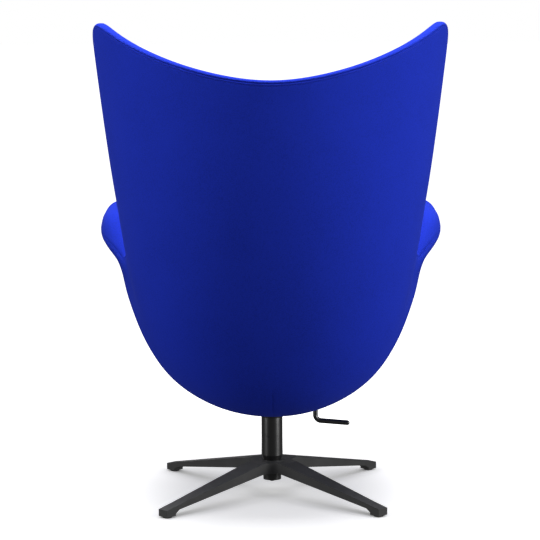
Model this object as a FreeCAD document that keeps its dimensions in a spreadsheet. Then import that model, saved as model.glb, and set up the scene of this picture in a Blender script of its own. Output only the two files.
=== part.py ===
"""Swivel lounge chair: an upholstered egg-shaped shell with high wings on a four-star base.

Millimetres, +Z up, the sitter faces -Y. The origin is on the floor under the swivel axis.
"""
import FreeCAD
import Part
import Sketcher
import math
import os

Vector = FreeCAD.Vector
Rotation = FreeCAD.Rotation
doc = FreeCAD.newDocument("lounge_chair")

# Driving sizes: name, value in millimetres (or degrees, or a count), meaning
SIZES = (
    ("base_radius", 350, "swivel axis to a leg's end face"),
    ("leg_inset", 1, "leg's root inside the hub's top and bottom"),
    ("leg_flat", 56, "swivel axis to where a leg starts to slope"),
    ("leg_width_hub", 54, "leg width at its root"),
    ("leg_width_foot", 28, "leg width at the foot"),
    ("leg_top_end", 19, "leg top above the floor at its end face"),
    ("leg_bottom_foot", 15.5, "leg underside above the floor at the foot"),
    ("foot_height", 8, "foot block's inner face above the floor"),
    ("foot_length", 27, "length of the foot block"),
    ("foot_slope", 12, "length of the step from leg to foot block"),
    ("casting_wall", 6, "side wall of the hollow leg"),
    ("roof_hub", 18, "casting above the leg's hollow at the hub"),
    ("roof_foot", 6, "casting above the leg's hollow at the foot"),
    ("hollow_start", 60, "swivel axis to the start of the leg's hollow"),
    ("web_fillet", 24, "round between neighbouring legs"),
    ("hub_radius", 32, "hub outer radius"),
    ("hub_bottom", 53, "hub underside above the floor"),
    ("hub_top", 80, "hub top above the floor"),
    ("glide_height", 3, "foot glide height"),
    ("glide_radius", 11, "foot glide radius"),
    ("glide_screw_radius", 2, "glide screw shank"),
    ("glide_screw_head", 4, "glide screw head radius"),
    ("glide_head_height", 1, "glide screw head"),
    ("glide_screw_length", 11, "glide screw length above its head"),
    ("glide_screw_sink", 0.8, "screw head above the floor"),
    ("tube_radius", 25, "column tube outer radius"),
    ("tube_wall", 2, "column tube wall"),
    ("tube_bottom", 33, "column tube lower end above the floor"),
    ("taper_bottom_radius", 21, "tube taper at its lower end"),
    ("taper_top_radius", 21.6, "tube taper at the hub's top"),
    ("shoulder_height", 12, "cone between the taper and the tube"),
    ("tube_top", 182, "column tube top above the floor"),
    ("tube_floor", 4, "end plate of the tube"),
    ("lower_bore_radius", 19, "tube bore below the guide bush"),
    ("bush_length", 64, "guide bush length inside the tube"),
    ("collar_height", 6, "guide bush collar above the tube"),
    ("collar_round", 3, "round of the collar's edge"),
    ("cylinder_radius", 14, "gas cylinder outer radius"),
    ("cylinder_wall", 2, "gas cylinder wall"),
    ("gland_height", 10, "gas cylinder lower end"),
    ("cap_height", 12, "gas cylinder upper end"),
    ("rod_radius", 5, "piston rod"),
    ("rod_tail", 5, "piston rod below the tube"),
    ("piston_height", 4, "piston"),
    ("piston_reserve", 16, "gland to piston at full height"),
    ("stroke", 60, "height adjustment"),
    ("running_clearance", 0.05, "gap of every running fit"),
    ("rod_hole_gap", 0.2, "piston rod to the tube floor and the lower washer"),
    ("washer_radius", 15, "thrust washer"),
    ("washer_thickness", 2, "thrust washer"),
    ("ball_radius", 2.5, "thrust bearing ball"),
    ("ball_circle", 11, "circle of the ball centres"),
    ("ball_count", 10, "balls in the thrust bearing"),
    ("cage_thickness", 2, "ball cage"),
    ("cage_margin", 1, "ball cage's web inside the balls and inset from the washer"),
    ("rod_collar_radius", 8, "collar of the rod on the bearing"),
    ("rod_collar_height", 2, "collar of the rod on the bearing"),
    ("clip_radius", 9, "clip under the tube"),
    ("clip_thickness", 1.5, "clip under the tube"),
    ("clip_groove", 1, "depth of the clip's groove in the rod"),
    ("stop_height", 10, "rubber stop on the rod"),
    ("stop_radius", 11.5, "rubber stop on the rod"),
    ("bottoming_gap", 2, "rubber stop to cylinder at the lowest seat"),
    ("valve_radius", 4, "valve button"),
    ("valve_flange", 2, "valve button's inner flange beyond its stem"),
    ("valve_flange_height", 3, "valve button's inner flange"),
    ("valve_proud", 5, "valve button above the socket"),
    ("rest_gap", 3, "collar to housing at the lowest seat"),
    ("floor_thickness", 4, "housing floor"),
    ("socket_radius", 22, "housing socket outer radius"),
    ("socket_height", 12.5, "housing underside to socket top"),
    ("housing_half_width", 54, "housing half width"),
    ("housing_wall", 4, "housing wall"),
    ("housing_front", 95, "swivel axis to the housing's front"),
    ("housing_rear", 26, "swivel axis to the housing's rear"),
    ("wall_rear_height", 17, "housing wall at its rear"),
    ("housing_corner", 14, "cut off the housing's rear corners"),
    ("pivot_forward", 60, "swivel axis to the tilt pin"),
    ("pivot_rise", 9, "lever axis to the tilt pin"),
    ("pivot_margin", 8, "housing wall above the tilt pin's centre"),
    ("pivot_land", 12, "half length of the wall's flat at the pin"),
    ("pin_radius", 5, "tilt pin"),
    ("pin_overhang", 3, "tilt pin beyond the housing wall"),
    ("clip_wall", 3.5, "tilt pin clip, radial"),
    ("clip_width", 1.2, "tilt pin clip, along the pin"),
    ("pin_bush_wall", 2, "tilt bush wall"),
    ("lug_inset", 4, "lug's gap to the housing wall"),
    ("lug_thickness", 6, "tilt plate lug"),
    ("lug_reach", 12, "lug beyond the pin's centre"),
    ("tilt_angle", 12, "backward tilt in degrees"),
    ("plate_rise", 14, "tilt pin to the plate's underside"),
    ("plate_thickness", 4, "tilt plate"),
    ("plate_half_width", 70, "tilt plate half width"),
    ("plate_front", 140, "swivel axis to the plate's front"),
    ("plate_rear", 45, "swivel axis to the plate's rear"),
    ("buffer_height", 10, "front rubber buffer"),
    ("buffer_half_width", 30, "rubber buffers"),
    ("buffer_depth", 8, "rubber buffers"),
    ("soft_gap", 0.3, "gap of a soft piece to what it meets"),
    ("spring_x", 32, "tilt spring off the middle"),
    ("spring_ahead", 25, "tilt spring ahead of the swivel axis"),
    ("spring_radius", 8, "tilt spring's wire centre"),
    ("spring_wire", 1.4, "tilt spring's wire radius"),
    ("spring_turns", 6, "tilt spring"),
    ("lever_radius", 6, "lever rod"),
    ("lever_gap", 0.5, "lever to valve button"),
    ("lever_tip", 3, "lever end beyond the swivel axis"),
    ("lever_drop_x", 102, "swivel axis to the lever's downward leg"),
    ("lever_bend", 14, "bend of the lever's centre line"),
    ("handle_drop", 44, "lever axis down to the handle"),
    ("handle_slope", 5, "slope of the handle in degrees"),
    ("handle_length", 62, "straight length of the handle"),
    ("lever_pin_radius", 2.5, "lever pin"),
    ("bracket_reach", 14, "lever bracket beyond the housing wall"),
    ("bracket_thickness", 4, "lever bracket ear"),
    ("bracket_gap", 0.5, "lever bracket ear to the rod"),
    ("bracket_margin", 6, "lever bracket above and below the pin"),
    ("slot_clearance", 1.5, "rod to the slot in the housing wall"),
    ("bolt_radius", 4, "mounting bolt"),
    ("bolt_head_radius", 7, "mounting bolt head across corners, half"),
    ("bolt_head_height", 5.3, "mounting bolt head"),
    ("bolt_washer_radius", 8, "mounting washer"),
    ("bolt_washer_thickness", 1.6, "mounting washer"),
    ("bolt_x", 58, "mounting bolts off the middle"),
    ("bolt_front", 115, "front bolts ahead of the swivel axis"),
    ("bolt_rear", 28, "rear bolts behind the swivel axis"),
    ("insert_length", 10, "threaded insert"),
    ("insert_wall", 1.5, "threaded insert"),
    ("pad_half_width", 75, "mounting pad half width"),
    ("pad_front", 142, "swivel axis to the mounting pad's front"),
    ("pad_rear", 47, "swivel axis to the mounting pad's rear"),
    ("pad_block", 80, "mounting pad's height before it is cut to the shell"),
    ("cutout_clearance", 1, "mounting pad to the cut-out in the back cover"),
    ("cover_thickness", 10, "back cover with its foam"),
    ("core_thickness", 6, "moulded shell"),
    ("padding_thickness", 30, "inner padding"),
    ("arm_padding", 14, "extra padding at the arms' edge"),
    ("crown_thinning", 18, "padding lost at the crown's edge"),
    ("rim_bulge", 10, "rim beyond the shell's edge"),
    ("arm_bulge", 12, "more of the rim at the arms"),
    ("cushion_crown", 125, "seat cushion at its middle"),
    ("cushion_edge", 42, "seat cushion at its edge"),
    ("cushion_bulge", 14, "seat cushion's side"),
)

# Shell stations from the seat's front lip to the crown. The spine is the outer surface on the
# middle plane, the edge is its rim; z counts from the top of the tilt plate. The last two
# columns say how far the cross-section flares like an arm and how round it is.
STATION_COLUMNS = ("spine_y", "spine_z", "edge_x", "edge_y", "edge_z", "flare", "roundness")
STATIONS = (
    ("lip", -384, 98, 346, -332, 344, 1.0, 1.0),
    ("thigh", -225, 56, 384, -245, 391, 1.0, 1.0),
    ("seat", -70, 25, 394, -135, 384, 1.0, 1.0),
    ("hip", 80, -3, 386, -35, 356, 0.9, 1.0),
    ("tail", 228, -13.5, 333, 50, 322, 0.35, 1.0),
    ("loin", 330, 91, 338, 82, 371, 0.05, 0.9),
    ("back", 376, 298, 358, 94, 515, 0.0, 0.6),
    ("shoulder", 392, 523, 384, 100, 690, 0.0, 0.3),
    ("crown", 394, 736, 405, 108, 871, 0.0, 0.0),
)

# Cross-section shapes, spine to edge, as control points of the unit square
CROWN_SECTION = ((0, 0), (0.111, 0), (0.333, 0.09), (0.667, 0.36), (0.91, 0.72), (1, 1))
ROUND_SECTION = ((0, 0), (0.17, 0), (0.46, 0.06), (0.81, 0.33), (1.0, 0.71), (1, 1))
ARM_SECTION = ((0, 0), (0.17, 0), (0.48, 0.10), (0.80, 0.34), (0.86, 0.76), (1, 1))

# Share of the patch that a rounded corner takes, across and along
EAR_CORNER = (0.035, 0.013)
NOSE_CORNER = (0.13, 0.06)
CUSHION_CORNER = (0.09, 0.08)
CORNER_SHARPNESS = 0.9

# The seat cushion's patch of the shell: half width across, front and rear along
CUSHION_HALF_SPAN = 0.55
CUSHION_FRONT = 0.035
CUSHION_REAR = 0.40
CUSHION_WAIST = 0.035
CUSHION_FULLNESS = 0.6

# The patch of the shell around the mounting pad
MOUNT_HALF_SPAN = 0.4
MOUNT_CENTRE = 0.28
MOUNT_HALF_LENGTH = 0.15

# Poles of the shell's and the cushion's surfaces
POLE_COUNT_ACROSS = 29
POLE_COUNT_ALONG = 65
CUSHION_POLE_COUNT = 17

sheet = doc.addObject("Spreadsheet::Sheet", "dims")


def fill_sheet():
    rows = [(name, number, meaning) for name, number, meaning in SIZES]
    for station, *numbers in STATIONS:
        for column, number in zip(STATION_COLUMNS, numbers):
            rows.append((f"{station}_{column}", number, f"shell station {station}"))
    for line, (name, number, meaning) in enumerate(rows, start=1):
        sheet.set(f"A{line}", name)
        sheet.set(f"B{line}", str(number))
        sheet.setAlias(f"B{line}", name)
        sheet.set(f"C{line}", meaning)
    doc.recompute()


fill_sheet()


def value(expression):
    """The number that an expression on the sheet gives."""
    return float(sheet.evalExpression(expression))


def size(name):
    return value("dims." + name)


# Heights that follow from the driving sizes, as expressions
SHOULDER_TOP = "(dims.hub_top + dims.shoulder_height)"
BUSH_BOTTOM = "(dims.tube_top - dims.bush_length)"
BUSH_RADIUS = "(dims.tube_radius - dims.tube_wall)"
COLLAR_TOP = "(dims.tube_top + dims.collar_height)"
TUBE_FLOOR_TOP = "(dims.tube_bottom + dims.tube_floor)"
BALL_Z = f"({TUBE_FLOOR_TOP} + dims.washer_thickness + dims.ball_radius)"
UPPER_WASHER = f"({BALL_Z} + dims.ball_radius + dims.running_clearance)"
ROD_COLLAR = f"({UPPER_WASHER} + dims.washer_thickness)"
STOP_BOTTOM = f"({ROD_COLLAR} + dims.rod_collar_height)"
CYLINDER_BOTTOM = f"({STOP_BOTTOM} + dims.stop_height + dims.bottoming_gap)"
GLAND_TOP = f"({CYLINDER_BOTTOM} + dims.gland_height)"
PISTON_BOTTOM = f"({GLAND_TOP} + dims.stroke + dims.piston_reserve)"
PISTON_TOP = f"({PISTON_BOTTOM} + dims.piston_height)"
CLIP_TOP = "(dims.tube_bottom - dims.running_clearance)"
ROD_HOLE = "(dims.rod_radius + dims.rod_hole_gap)"
HOUSING_BOTTOM = f"({COLLAR_TOP} + dims.rest_gap)"
FLOOR_TOP = f"({HOUSING_BOTTOM} + dims.floor_thickness)"
SOCKET_TOP = f"({HOUSING_BOTTOM} + dims.socket_height)"
CAP_BOTTOM = f"({SOCKET_TOP} - dims.cap_height)"
VALVE_TOP = f"({SOCKET_TOP} + dims.valve_proud)"
LEVER_Z = f"({VALVE_TOP} + dims.lever_gap + dims.lever_radius)"
PIVOT_Z = f"({LEVER_Z} + dims.pivot_rise)"
PIVOT_Y = "(-dims.pivot_forward)"
WALL_TOP = f"({PIVOT_Z} + dims.pivot_margin)"
PLATE_BOTTOM = f"({PIVOT_Z} + dims.plate_rise)"
PLATE_TOP = f"({PLATE_BOTTOM} + dims.plate_thickness)"
FRONT_WALL_TOP = f"({PLATE_BOTTOM} - dims.buffer_height)"
REAR_WALL_TOP = f"({HOUSING_BOTTOM} + dims.wall_rear_height)"
WALL_INNER = "(dims.housing_half_width - dims.housing_wall)"
LUG_OUTER = f"({WALL_INNER} - dims.lug_inset)"
LUG_INNER = f"({LUG_OUTER} - dims.lug_thickness)"
PIN_BORE = "(dims.pin_radius + dims.running_clearance)"
BUSH_OUTER = "(dims.pin_radius + dims.pin_bush_wall)"
BRACKET_X = "(dims.housing_half_width + dims.bracket_reach)"
LEVER_PIVOT_X = "(-dims.housing_half_width - dims.bracket_reach / 2)"
BRACKET_INNER = "(dims.lever_radius + dims.bracket_gap)"
BRACKET_OUTER = f"({BRACKET_INNER} + dims.bracket_thickness)"
FOOT_ROOT = "(dims.base_radius - dims.foot_length)"
GLIDE_R = "(dims.base_radius - dims.foot_length / 2)"
SCREW_TOP = "(dims.glide_height + dims.glide_screw_length)"

subparts = []


def keep(piece, label):
    """Names a finished sub-part; its label is its file's name."""
    piece.Label = label
    subparts.append(piece)
    return piece


def bind(piece, **expressions):
    for name, expression in expressions.items():
        piece.setExpression(name.replace("__", "."), expression)
    return piece


def place(piece, x, y, z):
    return bind(piece, Placement__Base__x=x, Placement__Base__y=y, Placement__Base__z=z)


AXIS_TURN = {
    "X": Rotation(Vector(0, 1, 0), 90),
    "Y": Rotation(Vector(1, 0, 0), -90),
    "Z": Rotation(),
}


def cylinder(name, radius, height, x="0", y="0", z="0", axis="Z"):
    """A cylinder that starts at x, y, z and runs along the positive axis."""
    piece = doc.addObject("Part::Cylinder", name)
    piece.Placement = FreeCAD.Placement(Vector(), AXIS_TURN[axis])
    bind(piece, Radius=radius, Height=height)
    return place(piece, x, y, z)


def box(name, x, y, z, length, width, height):
    piece = doc.addObject("Part::Box", name)
    bind(piece, Length=length, Width=width, Height=height)
    return place(piece, x, y, z)


def fuse(name, pieces):
    joined = doc.addObject("Part::MultiFuse", name)
    joined.Shapes = pieces
    return joined


def cut(name, base, tools):
    piece = doc.addObject("Part::Cut", name)
    piece.Base = base
    piece.Tool = tools[0] if len(tools) == 1 else fuse(name + "_tools", tools)
    return piece


def group(name, pieces):
    """Identical pieces that share one node."""
    together = doc.addObject("Part::Compound", name)
    together.Links = pieces
    return together


def ring(name, outer, inner, height, x="0", y="0", z="0", axis="Z"):
    solid = cylinder(name + "_solid", outer, height, x, y, z, axis)
    bore = cylinder(name + "_bore", inner, height, x, y, z, axis)
    return cut(name, solid, [bore])


# Sketched bodies


def origin_feature(body, role):
    return next(feature for feature in body.Origin.OriginFeatures if feature.Role == role)


def sketch_on(body, role, name, offset=None):
    sketch = body.newObject("Sketcher::SketchObject", name)
    sketch.AttachmentSupport = [(origin_feature(body, role), "")]
    sketch.MapMode = "FlatFace"
    if offset:
        sketch.setExpression("AttachmentOffset.Base.z", offset)
    return sketch


def pin_point(sketch, geometry, position, kind, expression):
    """Fixes one coordinate of a sketch point to an expression."""
    if expression == "0":
        axis = -2 if kind == "DistanceX" else -1
        sketch.addConstraint(Sketcher.Constraint("PointOnObject", geometry, position, axis))
        return
    distance = Sketcher.Constraint(kind, -1, 1, geometry, position, value(expression))
    index = sketch.addConstraint(distance)
    sketch.setExpression(f"Constraints[{index}]", expression)


def polygon(sketch, corners):
    """A closed outline whose corners are bound to the sheet."""
    points = [Vector(value(out), value(up), 0) for out, up in corners]
    count = len(points)
    lines = [sketch.addGeometry(Part.LineSegment(points[i], points[(i + 1) % count]), False)
             for i in range(count)]
    for i, line in enumerate(lines):
        sketch.addConstraint(Sketcher.Constraint("Coincident", line, 2, lines[(i + 1) % count], 1))
    for line, (out, up) in zip(lines, corners):
        pin_point(sketch, line, 1, "DistanceX", out)
        pin_point(sketch, line, 1, "DistanceY", up)


def circle(sketch, out, up, radius):
    centre = Vector(value(out), value(up), 0)
    index = sketch.addGeometry(Part.Circle(centre, Vector(0, 0, 1), value(radius)), False)
    pin_point(sketch, index, 3, "DistanceX", out)
    pin_point(sketch, index, 3, "DistanceY", up)
    limit = sketch.addConstraint(Sketcher.Constraint("Radius", index, value(radius)))
    sketch.setExpression(f"Constraints[{limit}]", radius)


def rectangle(sketch, left, right, low, high):
    polygon(sketch, [(left, low), (right, low), (right, high), (left, high)])


def turned(label, corners):
    """A body of revolution about the swivel axis, from its (radius, height) outline."""
    body = doc.addObject("PartDesign::Body", label)
    sketch = sketch_on(body, "XZ_Plane", label + "_outline")
    polygon(sketch, corners)
    turn = body.newObject("PartDesign::Revolution", label + "_turn")
    turn.Profile = sketch
    turn.ReferenceAxis = (sketch, ["V_Axis"])
    turn.Angle = 360
    body.Tip = turn
    return body


def pad(body, sketch, length):
    feature = body.newObject("PartDesign::Pad", sketch.Name + "_pad")
    feature.Profile = sketch
    feature.setExpression("Length", length)
    return feature


def pocket_up(body, sketch, length):
    feature = body.newObject("PartDesign::Pocket", sketch.Name + "_pocket")
    feature.Profile = sketch
    feature.Reversed = True
    feature.setExpression("Length", length)
    return feature


def round_edges(body, radius, wanted):
    """Rounds the edges of the body's last feature that the test picks."""
    doc.recompute()
    last = body.Tip
    names = [f"Edge{i}" for i, edge in enumerate(last.Shape.Edges, start=1) if wanted(edge)]
    feature = body.newObject("PartDesign::Fillet", body.Name + "_round")
    feature.Base = (last, names)
    feature.setExpression("Radius", radius)
    body.Tip = feature


# Base


def make_leg(body):
    """One leg along +X: its side view, narrowed towards the foot, hollow below."""
    ankle = f"({FOOT_ROOT} - dims.foot_slope)"
    root_half = "(dims.leg_width_hub / 2)"
    foot_half = "(dims.leg_width_foot / 2)"
    side = sketch_on(body, "XZ_Plane", "leg_side")
    polygon(side, [
        ("0", "dims.hub_bottom + dims.leg_inset"),
        ("dims.leg_flat", "dims.hub_bottom + dims.leg_inset"),
        (ankle, "dims.leg_bottom_foot"),
        (FOOT_ROOT, "dims.foot_height"),
        (FOOT_ROOT, "dims.glide_height"),
        ("dims.base_radius", "dims.glide_height"),
        ("dims.base_radius", "dims.leg_top_end"),
        ("dims.leg_flat", "dims.hub_top - dims.leg_inset"),
        ("0", "dims.hub_top - dims.leg_inset"),
    ])
    across(pad(body, side, "dims.leg_width_hub"))

    taper = sketch_on(body, "XY_Plane", "leg_taper")
    for sign in ("", "-"):
        polygon(taper, [
            ("0", f"{sign}{root_half}"),
            (ankle, f"{sign}{foot_half}"),
            ("dims.base_radius", f"{sign}{foot_half}"),
            ("dims.base_radius", f"{sign}{root_half}"),
        ])
    pocket_up(body, taper, "dims.hub_top")

    hollow = sketch_on(body, "XZ_Plane", "leg_hollow")
    hollow_end = f"({ankle} - dims.foot_length)"
    slope = "((dims.hub_top - dims.leg_inset - dims.leg_top_end) / (dims.base_radius - dims.leg_flat))"
    top_there = f"(dims.leg_top_end + {slope} * (dims.base_radius - {hollow_end}))"
    polygon(hollow, [
        ("dims.hollow_start", "dims.glide_height"),
        (hollow_end, "dims.glide_height"),
        (hollow_end, f"{top_there} - dims.roof_foot"),
        ("dims.hollow_start", "dims.hub_top - dims.roof_hub"),
    ])
    channel = body.newObject("PartDesign::Pocket", "leg_channel")
    channel.Profile = hollow
    channel.setExpression("Length", "dims.leg_width_foot - 2 * dims.casting_wall")
    across(channel)

    screw = sketch_on(body, "XY_Plane", "glide_screw_hole")
    circle(screw, GLIDE_R, "0", "dims.glide_screw_radius")
    pocket_up(body, screw, SCREW_TOP)


def across(feature_both_ways):
    """Makes a pad or pocket reach equally to both sides of its sketch."""
    feature_both_ways.SideType = "Symmetric"


def make_base_casting():
    body = doc.addObject("PartDesign::Body", "base_casting")
    make_leg(body)
    doc.recompute()
    legs = body.newObject("PartDesign::PolarPattern", "four_legs")
    legs.TransformMode = "Whole shape"
    legs.Axis = (origin_feature(body, "Z_Axis"), [""])
    legs.Angle = 360
    legs.Occurrences = 4
    body.Tip = legs

    hub = sketch_on(body, "XZ_Plane", "hub_outline")
    rectangle(hub, "0", "dims.hub_radius", "dims.hub_bottom", "dims.hub_top")
    hub_turn = body.newObject("PartDesign::Revolution", "hub")
    hub_turn.Profile = hub
    hub_turn.ReferenceAxis = (hub, ["V_Axis"])
    hub_turn.Angle = 360
    bore = sketch_on(body, "XZ_Plane", "hub_bore_outline")
    polygon(bore, [("0", "dims.hub_bottom"), (HUB_BORE_BOTTOM, "dims.hub_bottom"),
                   ("dims.taper_top_radius", "dims.hub_top"), ("0", "dims.hub_top")])
    groove = body.newObject("PartDesign::Groove", "hub_bore")
    groove.Profile = bore
    groove.ReferenceAxis = (bore, ["V_Axis"])
    groove.Angle = 360
    body.Tip = groove
    round_edges(body, "dims.web_fillet", between_legs)
    body.Placement = FreeCAD.Placement(Vector(), Rotation(Vector(0, 0, 1), 45))
    return keep(body, "base_casting")


TAPER_RATE = "((dims.taper_top_radius - dims.taper_bottom_radius) / (dims.hub_top - dims.tube_bottom))"
HUB_BORE_BOTTOM = f"(dims.taper_bottom_radius + {TAPER_RATE} * (dims.hub_bottom - dims.tube_bottom))"


def between_legs(edge):
    """The upright edges where the sides of two neighbouring legs meet."""
    middle = edge.CenterOfMass
    reach = math.hypot(middle.x, middle.y)
    corner = size("leg_width_hub") / math.sqrt(2)
    upright = edge.BoundBox.XLength < 0.01 and edge.BoundBox.YLength < 0.01
    tall = edge.Length > 3 * size("leg_inset")
    return upright and tall and size("lower_bore_radius") < reach < corner + size("leg_inset")


def around_feet(make):
    """One piece under each leg, from a function of the piece's number and place."""
    pieces = []
    for number in range(4):
        angle = 45 + 90 * number
        pieces.append(make(number, f"{GLIDE_R} * cos({angle})", f"{GLIDE_R} * sin({angle})"))
    return pieces


def make_glide(number, x, y):
    name = f"glide_{number}"
    disc = cylinder(name + "_disc", "dims.glide_radius", "dims.glide_height", x, y)
    shank = cylinder(name + "_hole", "dims.glide_screw_radius", "dims.glide_height", x, y)
    head = cylinder(name + "_sink", "dims.glide_screw_head", GLIDE_SINK, x, y)
    return cut(name, disc, [shank, head])


GLIDE_SINK = "(dims.glide_screw_sink + dims.glide_head_height)"


def make_glide_screw(number, x, y):
    name = f"glide_screw_{number}"
    head = cylinder(name + "_head", "dims.glide_screw_head", "dims.glide_head_height", x, y,
                    "dims.glide_screw_sink")
    shank = cylinder(name + "_shank", "dims.glide_screw_radius", f"{SCREW_TOP} - dims.glide_screw_sink",
                     x, y, "dims.glide_screw_sink")
    return fuse(name, [head, shank])


def make_base():
    make_base_casting()
    keep(group("foot_glides", around_feet(make_glide)), "foot_glides")
    keep(group("glide_screws", around_feet(make_glide_screw)), "glide_screws")


# Column and gas lift


def make_column():
    keep(turned("column_tube", [
        (ROD_HOLE, "dims.tube_bottom"),
        ("dims.taper_bottom_radius", "dims.tube_bottom"),
        ("dims.taper_top_radius", "dims.hub_top"),
        ("dims.tube_radius", SHOULDER_TOP),
        ("dims.tube_radius", "dims.tube_top"),
        (BUSH_RADIUS, "dims.tube_top"),
        (BUSH_RADIUS, BUSH_BOTTOM),
        ("dims.lower_bore_radius", BUSH_BOTTOM),
        ("dims.lower_bore_radius", TUBE_FLOOR_TOP),
        (ROD_HOLE, TUBE_FLOOR_TOP),
    ]), "column_tube")

    guide = "(dims.cylinder_radius + dims.running_clearance)"
    bush = turned("guide_bush", [
        (guide, BUSH_BOTTOM),
        (BUSH_RADIUS, BUSH_BOTTOM),
        (BUSH_RADIUS, "dims.tube_top"),
        ("dims.tube_radius", "dims.tube_top"),
        ("dims.tube_radius", COLLAR_TOP),
        (guide, COLLAR_TOP),
    ])
    round_edges(bush, "dims.collar_round", collar_edge)
    keep(bush, "guide_bush")


def collar_edge(edge):
    corner = edge.BoundBox
    at_top = abs(corner.ZMin - value(COLLAR_TOP)) < 0.01 and corner.ZLength < 0.01
    return at_top and abs(corner.XMax - size("tube_radius")) < 0.01


def make_gas_lift():
    rod_bore = "(dims.rod_radius + dims.running_clearance)"
    valve_bore = "(dims.valve_radius + dims.running_clearance)"
    cylinder_bore = "(dims.cylinder_radius - dims.cylinder_wall)"
    keep(turned("gas_cylinder", [
        (rod_bore, CYLINDER_BOTTOM),
        ("dims.cylinder_radius", CYLINDER_BOTTOM),
        ("dims.cylinder_radius", SOCKET_TOP),
        (valve_bore, SOCKET_TOP),
        (valve_bore, CAP_BOTTOM),
        (cylinder_bore, CAP_BOTTOM),
        (cylinder_bore, GLAND_TOP),
        (rod_bore, GLAND_TOP),
    ]), "gas_cylinder")

    flange_top = f"({CAP_BOTTOM} - dims.running_clearance)"
    flange_bottom = f"({flange_top} - dims.valve_flange_height)"
    flange_radius = "(dims.valve_radius + dims.valve_flange)"
    keep(turned("valve_button", [
        ("0", flange_bottom),
        (flange_radius, flange_bottom),
        (flange_radius, flange_top),
        ("dims.valve_radius", flange_top),
        ("dims.valve_radius", VALVE_TOP),
        ("0", VALVE_TOP),
    ]), "valve_button")

    clip_bottom = f"({CLIP_TOP} - dims.clip_thickness)"
    groove = "(dims.rod_radius - dims.clip_groove)"
    rod_end = "(dims.tube_bottom - dims.rod_tail)"
    piston_radius = f"({cylinder_bore} - dims.running_clearance)"
    keep(turned("piston_rod", [
        ("0", rod_end),
        ("dims.rod_radius", rod_end),
        ("dims.rod_radius", clip_bottom),
        (groove, clip_bottom),
        (groove, CLIP_TOP),
        ("dims.rod_radius", CLIP_TOP),
        ("dims.rod_radius", ROD_COLLAR),
        ("dims.rod_collar_radius", ROD_COLLAR),
        ("dims.rod_collar_radius", STOP_BOTTOM),
        ("dims.rod_radius", STOP_BOTTOM),
        ("dims.rod_radius", PISTON_BOTTOM),
        (piston_radius, PISTON_BOTTOM),
        (piston_radius, PISTON_TOP),
        ("0", PISTON_TOP),
    ]), "piston_rod")
    keep(ring("rod_clip", "dims.clip_radius", groove, "dims.clip_thickness", z=clip_bottom), "rod_clip")
    keep(ring("height_stop", "dims.stop_radius", "dims.rod_radius", "dims.stop_height", z=STOP_BOTTOM),
         "height_stop")


def make_thrust_bearing():
    keep(ring("lower_thrust_washer", "dims.washer_radius", ROD_HOLE, "dims.washer_thickness",
              z=TUBE_FLOOR_TOP), "lower_thrust_washer")
    keep(ring("upper_thrust_washer", "dims.washer_radius", "dims.rod_radius", "dims.washer_thickness",
              z=UPPER_WASHER), "upper_thrust_washer")
    balls = []
    pockets = []
    for number in range(int(size("ball_count"))):
        angle = f"({number} * 360 / dims.ball_count)"
        for made, extra in ((balls, "0"), (pockets, "dims.running_clearance")):
            ball = doc.addObject("Part::Sphere", f"ball_{number}")
            bind(ball, Radius=f"dims.ball_radius + {extra}")
            made.append(place(ball, f"dims.ball_circle * cos({angle})",
                              f"dims.ball_circle * sin({angle})", BALL_Z))
    keep(group("bearing_balls", balls), "bearing_balls")
    cage_outer = "(dims.washer_radius - dims.cage_margin)"
    cage_inner = "(dims.ball_circle - dims.ball_radius - dims.cage_margin)"
    band = ring("cage_ring", cage_outer, cage_inner, "dims.cage_thickness",
                z=f"({BALL_Z} - dims.cage_thickness / 2)")
    keep(cut("bearing_cage", band, pockets), "bearing_cage")


# Tilt mechanism


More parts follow.
